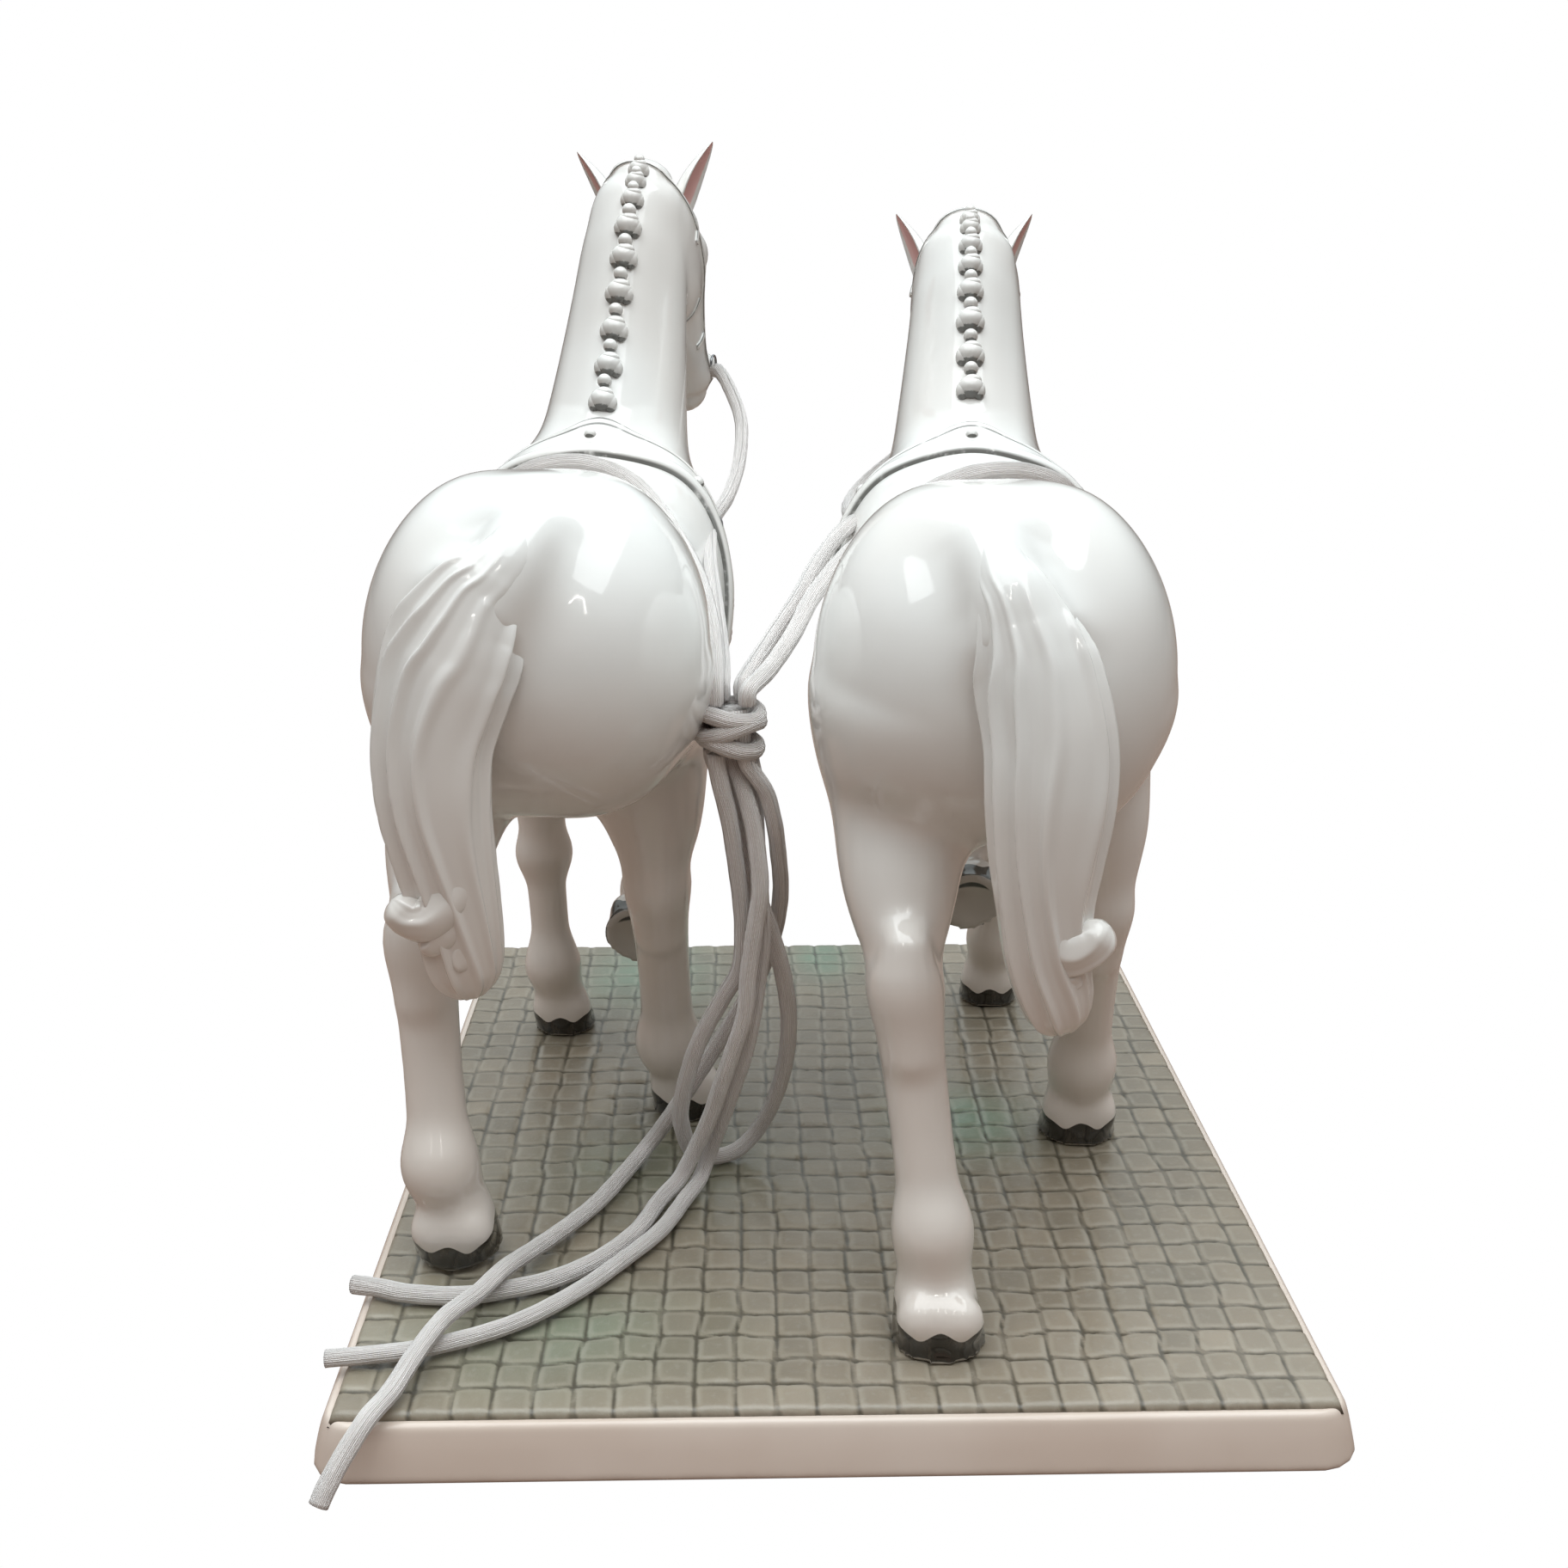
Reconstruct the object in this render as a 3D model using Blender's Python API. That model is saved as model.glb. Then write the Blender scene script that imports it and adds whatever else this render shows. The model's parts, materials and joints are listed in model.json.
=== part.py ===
"""A porcelain pair of driving horses on a cobbled plinth, with cord reins tied in one knot.

Two walking horses stand side by side, the near horse on the left and the off horse on the right.
Each horse is luted together from slip-cast pieces: a barrel, a neck with its head, four legs, a tail,
two ears and hand-rolled mane plaits. The harness is laid on as thin porcelain straps with studs, and
wire rings carry four cord reins. The reins meet in a wrapped knot between the horses and trail over
the paving. Metres, +Z up, the horses face +Y, and the origin is under the middle of the group's box,
cords left out. The heads reach past the plinth, so that is a little in front of the plinth's middle.
"""

import math

import bmesh
import bpy
from mathutils import Matrix, Vector
from mathutils.bvhtree import BVHTree

# ------------------------------------------------------------------------ driving dimensions (metres)

PAVING_WIDTH = 0.250
PAVING_LENGTH = 0.300
PAVING_THICKNESS = 0.004
PAVING_CORNER = 0.004
PLINTH_HEIGHT = 0.017
PLINTH_FLARE = 0.005
PLINTH_WALL = 0.006
PLINTH_CORNER = 0.012
PAD_HEIGHT = 0.002
PAD_RADIUS = 0.009
PAD_INSET = 0.014

CROUP_HEIGHT = 0.214
SEAM = 0.0003
STRAP_THICKNESS = 0.0013
GIRTH_WIDTH = 0.015
BREAST_STRAP_WIDTH = 0.017
BRIDLE_STRAP_WIDTH = 0.003
STUD_RADIUS = 0.0018
RING_WIRE = 0.0009
TERRET_RADIUS = 0.0037
BIT_RING_RADIUS = 0.0032
CORD_DIAMETER = 0.005
KNOT_RADIUS = 0.010
KNOT_DEPTH = 0.0088
KNOT_HEIGHT = 0.013

# How far in front of the plinth's middle the middle of the whole group's box is.
GROUP_MIDDLE = 0.01234

PAVING_TOP = PAD_HEIGHT + PLINTH_HEIGHT
HORSE_SCALE = CROUP_HEIGHT / 214.0

# Where each horse stands: the point of the paving under its hips, and its turn to the right.
STANCES = {
    "near": {"hips": (-0.0775, -0.048), "turn": 3.5},
    "off": {"hips": (0.0425, -0.072), "turn": 3.5},
}

# ------------------------------------------------------------------------ the horses' anatomy
# Lengths here are in the horse's own frame and in 214ths of the croup's height: x to its right,
# y forward from the hips, z up from the paving.

# Barrel rings: y, middle height, half width, half height, and how much narrower the top is.
BARREL = [
    (-36, 170, 12, 15, 0.0),
    (-31, 170, 25, 29, 0.0),
    (-20, 171, 36, 38, 0.02),
    (-4, 171, 41, 42, 0.05),
    (16, 167, 42, 44, 0.08),
    (40, 158, 42, 46, 0.10),
    (64, 153, 43, 47, 0.10),
    (88, 154, 43, 50, 0.12),
    (110, 156, 41, 55, 0.16),
    (128, 154, 37, 54, 0.16),
    (145, 149, 31, 43, 0.08),
    (157, 146, 23, 29, 0.0),
    (163, 145, 12, 15, 0.0),
]

# Neck rings: share of the way from chest to poll, half width, half depth.
NECK = [
    (0.00, 30, 38),
    (0.20, 27.5, 34),
    (0.40, 24, 29),
    (0.58, 21.5, 24.5),
    (0.74, 19.5, 22),
    (0.88, 17.8, 19.5),
    (1.00, 13.5, 13.5),
    (1.08, 6.5, 7),
]
NECK_FOOT = (0, 126, 172)

# Head rings, from behind the poll to the lips: forward, down, half width, half depth.
HEAD = [
    (-6, 2, 9, 8),
    (0, 6, 14, 14),
    (8, 16, 17.5, 19),
    (15, 29, 16.5, 19),
    (22, 45, 13, 15),
    (29, 61, 10.3, 11.5),
    (34, 73, 10.2, 10.5),
    (37, 80, 7, 7),
]

# Leg rings: joint it starts from, share of the way to the next joint, half width, half depth.
HIND_LEG = [
    ("hip", 0.00, 15, 25),
    ("hip", 0.30, 19.5, 33),
    ("hip", 0.75, 18.5, 31),
    ("stifle", 0.10, 16.5, 24),
    ("stifle", 0.45, 13.5, 17),
    ("stifle", 0.80, 10.0, 12),
    ("hock", 0.00, 10.3, 12.5),
    ("hock", 0.22, 8.6, 9.6),
    ("hock", 0.55, 7.8, 7.8),
    ("hock", 0.85, 8.2, 8.2),
    ("fetlock", 0.00, 9.0, 9.4),
    ("fetlock", 0.55, 8.7, 8.6),
    ("coronet", 0.00, 10.4, 9.8),
    ("sole", 0.00, 12.3, 12.0),
]
FORE_LEG = [
    ("shoulder", 0.00, 12, 22),
    ("shoulder", 0.45, 14.5, 25),
    ("shoulder", 0.90, 12.5, 18),
    ("elbow", 0.35, 10.0, 12.5),
    ("elbow", 0.80, 8.2, 9.6),
    ("knee", 0.00, 8.2, 9.6),
    ("knee", 0.25, 6.9, 7.4),
    ("knee", 0.80, 6.8, 7.2),
    ("fetlock", 0.00, 8.2, 8.6),
    ("fetlock", 0.55, 7.6, 7.6),
    ("coronet", 0.00, 9.3, 9.0),
    ("sole", 0.00, 11.0, 10.8),
]

# How far the rings below each joint turn to stay square across the leg.
RING_FOLLOW = {
    "hip": 0.15, "stifle": 0.3, "hock": 0.6, "shoulder": 0.1, "elbow": 0.4, "knee": 0.9,
    "fetlock": 1.0, "coronet": 1.0, "sole": 1.0,
}

# A hoof whose sole is lower than this stands level on the paving.
RAISED_SOLE = 20.0

POSES = {
    "near": {
        "poll": (10, 172, 286),
        "terret_height": 184.0,
        "face_turn": 12.0,
        "face_lift": 12.0,
        "hind_leg_near": {
            "hip": (-23, 6, 172), "stifle": (-25, 12, 138), "hock": (-32, -20, 90),
            "fetlock": (-27, -34, 30), "coronet": (-24, -33, 15), "sole": (-24, -31, 3.3),
        },
        "hind_leg_off": {
            "hip": (23, 6, 172), "stifle": (26, 32, 140), "hock": (27, 32, 88),
            "fetlock": (27, 54, 27), "coronet": (31, 58, 12), "sole": (33, 60, 0.4),
        },
        "fore_leg_near": {
            "shoulder": (-24, 122, 160), "elbow": (-24, 118, 118), "knee": (-23, 118, 67),
            "fetlock": (-21, 117, 26), "coronet": (-19, 119, 12), "sole": (-18, 121, 0.4),
        },
        "fore_leg_off": {
            "shoulder": (24, 124, 160), "elbow": (22, 128, 120), "knee": (17, 156, 84),
            "fetlock": (12, 132, 50), "coronet": (11, 120, 42), "sole": (10, 109, 40),
        },
        "tail": [
            (4, -30, 198, 6.5, 7), (1, -38, 191, 8, 8), (-11, -44, 170, 12, 9), (-19, -47, 150, 13.5, 9),
            (-21, -48, 132, 13.5, 9), (-18, -47, 114, 13, 8.5), (-15, -46, 98, 12, 8), (-16, -45, 84, 6, 5),
        ],
        "ears": [((0, 184, 281), (-9, 190, 303)), ((23, 181, 283), (34, 186, 306))],
    },
    "off": {
        "poll": (1, 184, 270),
        "terret_height": 188.0,
        "face_turn": 0.0,
        "face_lift": 0.0,
        "hind_leg_near": {
            "hip": (-23, 2, 172), "stifle": (-25, 4, 138), "hock": (-22, -33, 91),
            "fetlock": (-14, -44, 29), "coronet": (-13, -47, 13), "sole": (-12, -50, 0.4),
        },
        "hind_leg_off": {
            "hip": (23, 6, 172), "stifle": (30, 34, 140), "hock": (36, 36, 88),
            "fetlock": (37, 60, 27), "coronet": (37, 63, 12), "sole": (37, 65, 0.4),
        },
        "fore_leg_near": {
            "shoulder": (-24, 124, 160), "elbow": (-20, 128, 122), "knee": (-9, 158, 92),
            "fetlock": (0, 134, 68), "coronet": (3, 121, 62), "sole": (4, 110, 60),
        },
        "fore_leg_off": {
            "shoulder": (24, 122, 160), "elbow": (22, 126, 120), "knee": (19, 148, 70),
            "fetlock": (17, 164, 27), "coronet": (16, 167, 12), "sole": (16, 169, 0.4),
        },
        "tail": [
            (-3, -31, 198, 7.5, 7), (-1, -39, 190, 9, 8), (5, -45, 174, 12.5, 9), (8, -49, 158, 14, 9),
            (8, -51, 141, 13, 9), (8, -51, 122, 11.5, 8.5), (13, -50, 105, 12, 8), (18, -49, 92, 7, 5),
        ],
        "ears": [((-13, 193, 261), (-23, 199, 282)), ((14, 193, 261), (24, 199, 282))],
    },
}

# Ear rings: share of the way from base to tip, half width, half depth.
EAR = [(0.0, 4.5, 4.0), (0.3, 6.0, 4.6), (0.6, 5.0, 3.6), (0.85, 2.8, 2.0), (1.0, 0.9, 0.8)]

PLAIT_COUNT = 9
PLAIT_RADIUS = 4.4
PLAIT_SMALL_RADIUS = 3.0
PLAIT_FIRST = 0.40
PLAIT_LAST = 0.99

# The girth runs round the barrel in a plane that leans forward at the top.
GIRTH_MIDDLE = (0, 112, 184)
GIRTH_LEAN = 16.0
GIRTH_HUB_DROP = 30.0
GIRTH_STUD_ANGLES = (-38.0, 0.0, 38.0)
BREAST_HEIGHT = 152.0
BREAST_HUB = 128.0
BREAST_STUD_TURNS = (-60.0, -30.0, 0.0, 30.0, 60.0)
NOSEBAND_PLACE = (26, 54)
NOSEBAND_DEPTH = 42.0
MOUTH_CORNER = (31, 65)
CROWN_PLACE = (0, -4, 4)
GIRTH_REACH = (130, 44)
RAY_REACH = 120.0

# ------------------------------------------------------------------------ the reins' routes
# Hand-laid points of each rein in millimetres of the whole group, from its bit ring to the knot, and
# from the knot to its loose end. The last rein's lower run is a bight that goes back up into the knot.

KNOT_PLACE = (-26, -48, 164)

REINS = {
    "near_outer": {
        "upper": [
            (-59.5, 163.5, 245.5), (-66, 156, 240), (-84, 138, 229), (-98.5, 114, 217), (-106.5, 90, 207.5),
            (-108.3, 66, 203), (-106.5, 55, 207.5), (-99, 46, 217.5), (-87, 40, 224.5), (-72, 36, 226.5),
            (-58, 33, 222), (-48, 25, 213.5), (-41, 8, 206), (-34.6, -16, 198.3), (-31, -34, 188.5),
            (-30, -46, 179.5), (-30.2, -50, 175), (-30.2, -50, 171),
        ],
        "lower": [
            (-25.8, -46.1, 157.2), (-25.3, -46.3, 153.8), (-22.2, -49.3, 146), (-19.5, -52.5, 135),
            (-18, -56.2, 120), (-19.5, -57.5, 108.5), (-21.5, -58, 94), (-22.5, -58, 82.5),
            (-26, -57, 70.5), (-29.5, -55, 59), (-33, -51.5, 46.5), (-38, -48, 33.5), (-42.5, -49, 25),
            (-48, -56, 22), (-54, -73, 22), (-64, -87.5, 22), (-76, -97, 22), (-88, -101.5, 22),
            (-100, -104, 22), (-113.5, -102.5, 22), (-122, -99.6, 22), (-129, -97.4, 21.6),
        ],
    },
    "near_inner": {
        "upper": [
            (-32.5, 157.3, 245.8), (-31, 150, 246), (-27.5, 135, 242), (-23, 118, 231.5), (-23.5, 100, 219.5),
            (-27, 84, 210), (-31.5, 71, 204.5), (-32.9, 61.5, 203), (-33, 50, 200.5), (-32.5, 32, 195.5),
            (-31, 12, 189.5), (-29.2, -12, 182.8), (-28.2, -32, 178), (-28.2, -43.8, 175),
            (-28.2, -44.2, 171.4),
        ],
        "lower": [
            (-20.4, -44.6, 157.2), (-20.3, -44.5, 153.8), (-19, -44.2, 146), (-19, -46.3, 136),
            (-18.6, -48.4, 128), (-17.8, -50.5, 116), (-17.2, -51.9, 104), (-18.4, -52.4, 92),
            (-20.1, -52.8, 79.5), (-22.5, -52, 67.5), (-25.8, -50.2, 56), (-29.5, -47, 43.5),
            (-33.5, -43.5, 30.5), (-36.5, -46.5, 23.5), (-40.8, -56, 22), (-46.8, -72, 22), (-56, -86.5, 22),
            (-67, -101.5, 22), (-80, -114.5, 22), (-92, -122, 22), (-106, -127.5, 22), (-118, -129.8, 22),
            (-129, -130.6, 21.6),
        ],
    },
    "off_inner": {
        "upper": [
            (42.5, 138.3, 222.5), (35, 131, 218), (22, 112, 211), (14.5, 88, 207), (12.5, 64, 206.5),
            (13.7, 42, 207), (12, 31, 208.2), (6.5, 19, 206), (0, 6.5, 200), (-6.5, -7.5, 191.5),
            (-14, -20.5, 183.2), (-19.6, -32.5, 177.4), (-22.6, -43.4, 175), (-22.6, -43.8, 171.4),
        ],
        "lower": [
            (-21.8, -51, 156.9), (-21.2, -51.1, 154), (-16.4, -50.6, 146.5), (-14, -49.4, 137),
            (-12.9, -47, 128), (-12, -42, 114), (-13.4, -36.8, 100.5), (-16.8, -33.8, 87.5),
            (-22.5, -33, 75.5), (-29, -33, 64.5), (-37, -32.5, 51), (-44, -30, 38.5), (-49.5, -26, 28.5),
            (-54.5, -27.5, 22.5), (-59.5, -40, 22), (-66, -56, 22), (-73, -69, 22.3), (-81, -84, 24),
            (-87.5, -99.5, 27.4), (-93, -111, 27.4), (-100, -123, 27.8), (-105.5, -135, 25.3),
            (-109.5, -146, 22.7), (-113.6, -154, 21.2), (-118.3, -160.3, 15.7), (-121.8, -164.6, 10.3),
            (-123.6, -166.9, 6.6),
        ],
    },
    "off_outer": {
        "upper": [
            (71, 136.8, 222.5), (76.5, 130, 218), (86, 110, 210.5), (90, 84, 206), (88, 58, 205.5),
            (85, 37.6, 207), (81, 28, 212), (75, 20.5, 221), (62, 15.5, 226), (47, 11, 226),
            (34, 9, 221.5), (23, 7, 214.5), (15, 4.5, 208.3), (7, -1.5, 202.3), (-2, -12.5, 193.5),
            (-8.2, -24.5, 184.8), (-15.2, -38.5, 178), (-20.8, -50.6, 175.2), (-21.2, -50.8, 171.4),
        ],
        "lower": [
            (-31.2, -44.4, 157.2), (-30.8, -44.3, 154), (-27.9, -43.6, 146), (-25.2, -43.2, 136),
            (-22.8, -42.8, 127.5), (-20, -43.3, 117), (-17, -43.7, 108), (-14, -43.2, 98.5),
            (-11, -40.8, 85.5), (-9.5, -37, 71), (-10.5, -33, 55.5), (-14, -28.5, 40), (-19, -25.5, 28.5),
            (-25.5, -27, 22.4), (-33, -30.5, 22.2), (-38.7, -32.8, 25.5), (-41.3, -35.8, 33),
            (-42, -39.5, 43), (-39.5, -43.9, 57), (-35.5, -46.9, 70), (-29, -48.5, 83), (-24, -49, 92.5),
            (-23, -49.4, 102.5), (-23.3, -50, 113), (-24.8, -50.6, 126.5), (-26.4, -51, 138),
            (-28.4, -51, 147), (-29.8, -50.8, 154), (-29.9, -50.7, 157.2),
        ],
    },
}

# How far apart the points of a rein's tube are, and the straight stretch at each of its ends.
CORD_POINT_SPACING = 0.011
END_STRETCH = 0.0025

PALETTE = {
    "porcelain": ((0.86, 0.86, 0.84, 1.0), 0.08, 0.0),
    "plinth_glaze": ((0.80, 0.70, 0.62, 1.0), 0.12, 0.0),
    "cobble_glaze": ((0.34, 0.33, 0.28, 1.0), 0.35, 0.0),
    "wire": ((0.45, 0.45, 0.46, 1.0), 0.25, 1.0),
    "cord": ((0.80, 0.76, 0.74, 1.0), 0.45, 0.0),
    "felt": ((0.03, 0.03, 0.03, 1.0), 0.9, 0.0),
}


# ------------------------------------------------------------------------ small tools

def clear_scene():
    """Empty the scene of every object and mesh it holds."""
    for item in list(bpy.data.objects):
        bpy.data.objects.remove(item, do_unlink=True)


def new_collection(name):
    """Add a collection to the scene and return it."""
    group = bpy.data.collections.new(name)
    bpy.context.scene.collection.children.link(group)
    return group


def make_material(name, colour, roughness, metallic):
    """Make a Principled BSDF material."""
    material = bpy.data.materials.new(name)
    material.use_nodes = True
    shader = material.node_tree.nodes["Principled BSDF"]
    shader.inputs["Base Color"].default_value = colour
    shader.inputs["Roughness"].default_value = roughness
    shader.inputs["Metallic"].default_value = metallic
    material.diffuse_color = colour
    return material


def add_object(name, mesh, group, finish=None):
    """Wrap a mesh in an object, link it to a collection and give it a finish of its own."""
    item = bpy.data.objects.new(name, mesh)
    group.objects.link(item)
    if finish:
        item.data.materials.clear()
        item.data.materials.append(make_material(name + "_" + finish, *PALETTE[finish]))
    return item


def mesh_from_bmesh(name, shape):
    """Turn a bmesh into a mesh with its faces pointing out."""
    bmesh.ops.recalc_face_normals(shape, faces=shape.faces)
    mesh = bpy.data.meshes.new(name)
    shape.to_mesh(mesh)
    shape.free()
    return mesh


def smooth(item, angle=50.0):
    """Shade an object smooth, apart from its sharp edges."""
    item.data.shade_smooth()
    item.data.set_sharp_from_angle(angle=math.radians(angle))


def loft(name, rings, sides):
    """Join rings of points into one closed skin, with flat ends.

    A ring is a middle, two half-axis vectors and a taper: the point at angle a is
    middle + side * cos(a) * (1 - taper * sin(a)) + rise * sin(a).
    """
    shape = bmesh.new()
    loops = []
    for middle, side, rise, taper in rings:
        loop = []
        for step in range(sides):
            angle = 2.0 * math.pi * step / sides
            across = math.cos(angle) * (1.0 - taper * math.sin(angle))
            loop.append(shape.verts.new(middle + side * across + rise * math.sin(angle)))
        loops.append(loop)
    for first, second in zip(loops, loops[1:]):
        for step in range(sides):
            after = (step + 1) % sides
            shape.faces.new((first[step], first[after], second[after]))
            shape.faces.new((first[step], second[after], second[step]))
    shape.faces.new(list(reversed(loops[0])))
    shape.faces.new(loops[-1])
    return mesh_from_bmesh(name, shape)


def path_rings(stations, grow=0.0):
    """Rings along the path of their middles.

    A station is x, y, z, half width, half depth and, at the end, how far the ring turns from level
    to square across the path: 0 is level, 1 is square.
    """
    middles = [Vector(station[:3]) for station in stations]
    rings = []
    for number, station in enumerate(stations):
        before = middles[max(number - 1, 0)]
        after = middles[min(number + 1, len(middles) - 1)]
        along = (after - before).normalized()
        follow = station[5] if len(station) > 5 else 1.0
        along = (along * follow + Vector((0, 0, -1)) * (1.0 - follow)).normalized()
        side = Vector((1, 0, 0)) - along * along.x
        side.normalize()
        rise = along.cross(side)
        middle = middles[number].copy()
        if number == 0:
            middle -= along * grow
        if number == len(middles) - 1:
            middle += along * grow
        rings.append((middle, side * (station[3] + grow), rise * (station[4] + grow), 0.0))
    return rings


def boolean(item, cutter, operation):
    """Apply one exact Boolean to an object's mesh."""
    modifier = item.modifiers.new(operation.lower(), "BOOLEAN")
    modifier.operation = operation
    modifier.solver = "EXACT"
    modifier.object = cutter
    bake(item)


def bake(item):
    """Replace an object's mesh by its evaluated one and drop the modifiers."""
    graph = bpy.context.evaluated_depsgraph_get()
    mesh = bpy.data.meshes.new_from_object(item.evaluated_get(graph))
    item.modifiers.clear()
    old = item.data
    item.data = mesh
    bpy.data.meshes.remove(old)


def drop(*items):
    """Remove helper objects."""
    for item in items:
        bpy.data.objects.remove(item, do_unlink=True)


# ------------------------------------------------------------------------ one horse's masses

def leg_stations(plan, joints):
    """Leg rings along the polyline of a leg's joints."""
    order = list(joints)
    stations = []
    for joint, share, wide, deep in plan:
        start = Vector(joints[joint])
        number = order.index(joint)
        end = Vector(joints[order[min(number + 1, len(order) - 1)]])
        place = start.lerp(end, share)
        stations.append((place.x, place.y, place.z, wide, deep, RING_FOLLOW[joint]))
    if joints["sole"][2] < RAISED_SOLE:
        stations[-1] = stations[-1][:5] + (0.0,)
        stations[-2] = stations[-2][:5] + (0.3,)
    return stations


def barrel_rings(grow):
    """Rings of the barrel, from the buttocks to the chest."""
    rings = []
    last = len(BARREL) - 1
    for number, (y, z, wide, tall, taper) in enumerate(BARREL):
        shift = -grow if number == 0 else grow if number == last else 0.0
        middle = Vector((0, y + shift, z))
        rings.append((middle, Vector((wide + grow, 0, 0)), Vector((0, 0, tall + grow)), taper))
    return rings


def neck_point(poll, share):
    """A point of the neck's axis: a quadratic curve from the chest to the poll."""
    foot = Vector(NECK_FOOT)
    top = Vector(poll)
    bend = Vector((0.3 * top.x, foot.y + 0.70 * (top.y - foot.y), foot.z + 0.41 * (top.z - foot.z)))
    return foot * (1 - share) ** 2 + bend * 2 * share * (1 - share) + top * share ** 2


def neck_stations(poll):
    """Rings of the neck."""
    stations = []
    for share, wide, deep in NECK:
        place = neck_point(poll, share)
        stations.append((place.x, place.y, place.z, wide, deep))
    return stations


def head_rings(pose, grow):
    """Rings of the head, turned at the poll."""
    poll = Vector(pose["poll"])
    turn = Matrix.Rotation(-math.radians(pose["face_turn"]), 3, "Z")
    turn = turn @ Matrix.Rotation(math.radians(pose["face_lift"]), 3, "X")
    stations = []
    for forward, down, wide, deep in HEAD:
        stations.append((0, forward, -down, wide, deep))
    rings = []
    for middle, side, rise, taper in path_rings(stations, grow):
        rings.append((poll + turn @ middle, turn @ side, turn @ rise, taper))
    return rings


class Horse:
    """Builds the pieces of one horse in its own frame, and stands them on the paving."""

    def __init__(self, name, parts, helpers):
        self.name = name
        self.pose = POSES[name]
        self.parts = parts
        self.helpers = helpers
        stance = STANCES[name]
        turn = Matrix.Rotation(-math.radians(stance["turn"]), 4, "Z")
        place = Matrix.Translation((stance["hips"][0], stance["hips"][1], PAVING_TOP))
        self.frame = place @ turn @ Matrix.Scale(HORSE_SCALE, 4)
        self.unit = 1.0 / HORSE_SCALE

    def helper(self, label, mesh):
        """A guide solid in the horse's frame."""
        item = add_object(self.name + "_" + label + "_guide", mesh, self.helpers)
        item.hide_render = True
        item.display_type = "WIRE"
        return item

    def finish(self, label, item, finish="porcelain"):
        """Rename a solid to its node, stand it on the paving and finish it."""
        mesh = item.data.copy()
        drop(item)
        mesh.transform(self.frame)
        node = add_object(self.name + "_" + label, mesh, self.parts, finish)
        smooth(node)
        return node

    def masses(self, grow):
        """The horse's castings as separate solids, each grown outward by the given length."""
        pose = self.pose
        solids = {}
        solids["barrel"] = loft("barrel", barrel_rings(grow), 18)
        solids["neck"] = loft("neck", path_rings(neck_stations(pose["poll"]), grow), 16)
        solids["head"] = loft("head", head_rings(pose, grow), 12)
        for leg in ("hind_leg_near", "hind_leg_off"):
            solids[leg] = loft(leg, path_rings(leg_stations(HIND_LEG, pose[leg]), grow), 12)
        for leg in ("fore_leg_near", "fore_leg_off"):
            solids[leg] = loft(leg, path_rings(leg_stations(FORE_LEG, pose[leg]), grow), 10)
        solids["tail"] = loft("tail", path_rings(pose["tail"], grow), 12)
        return {label: self.helper(label, mesh) for label, mesh in solids.items()}

    def whole(self, grow, leave_out=()):
        """One solid of the horse's castings joined and grown."""
        solids = self.masses(grow)
        body = solids.pop("barrel")
        for label, solid in solids.items():
            if label not in leave_out:
                boolean(body, solid, "UNION")
        drop(*solids.values())
        return body


def build_castings(horse):
    """Barrel, neck with head, four legs and tail, each seated in its neighbour with a thin seam."""
    seam = SEAM * horse.unit
    solids = horse.masses(0.0)
    boolean(solids["neck"], solids["head"], "UNION")
    drop(solids.pop("head"))
    cutters = horse.masses(seam)
    boolean(cutters["neck"], cutters["head"], "UNION")
    drop(cutters.pop("head"))
    order = ["hind_leg_near", "hind_leg_off", "fore_leg_near", "fore_leg_off", "tail", "neck"]
    for label in order:
        boolean(solids["barrel"], cutters[label], "DIFFERENCE")
    for leg in ("fore_leg_near", "fore_leg_off"):
        boolean(solids["neck"], cutters[leg], "DIFFERENCE")
    boolean(solids["hind_leg_off"], cutters["hind_leg_near"], "DIFFERENCE")
    boolean(solids["fore_leg_off"], cutters["fore_leg_near"], "DIFFERENCE")
    for leg in ("hind_leg_near", "hind_leg_off"):
        boolean(solids["tail"], cutters[leg], "DIFFERENCE")
    drop(*cutters.values())
    names = {"neck": "neck_and_head", "tail": "tail", "barrel": "barrel"}
    for label in list(solids):
        horse.finish(names.get(label, label), solids[label])


def slab(horse, label, middle, size, lean=0.0):
    """A guide box with its middle in the horse's frame, leaning forward at the top."""
    shape = bmesh.new()
    bmesh.ops.create_cube(shape, size=1.0)
    mesh = mesh_from_bmesh(label, shape)
    turn = Matrix.Rotation(-math.radians(lean), 4, "X")
    mesh.transform(Matrix.Translation(Vector(middle)) @ turn @ Matrix.Diagonal((*size, 1.0)))
    return horse.helper(label, mesh)


def lean_vector():
    """The girth plane's upward direction."""
    lean = math.radians(GIRTH_LEAN)
    return Vector((0, math.sin(lean), math.cos(lean)))


def girth_aim(angle):
    """A ray that meets the girth's middle at an angle from its top, from outside inward."""
    turn = math.radians(angle)
    hub = Vector(GIRTH_MIDDLE) - lean_vector() * GIRTH_HUB_DROP
    out = lean_vector() * math.cos(turn) + Vector((1, 0, 0)) * math.sin(turn)
    return hub + out * RAY_REACH, -out


def surface_point(item, aim):
    """Where a ray first meets a solid."""
    tree = BVHTree.FromObject(item, bpy.context.evaluated_depsgraph_get())
    return tree.ray_cast(*aim)[0]


def add_stud(horse, strap_solid, inner, aim):
    """Join a domed stud to a strap where a ray meets it."""
    place = surface_point(strap_solid, aim)
    radius = STUD_RADIUS * horse.unit
    stud = horse.helper("stud", mesh_from_bmesh("stud", ball(radius, place, 6, 4)))
    boolean(stud, inner, "DIFFERENCE")
    boolean(strap_solid, stud, "UNION")
    drop(stud)


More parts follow.
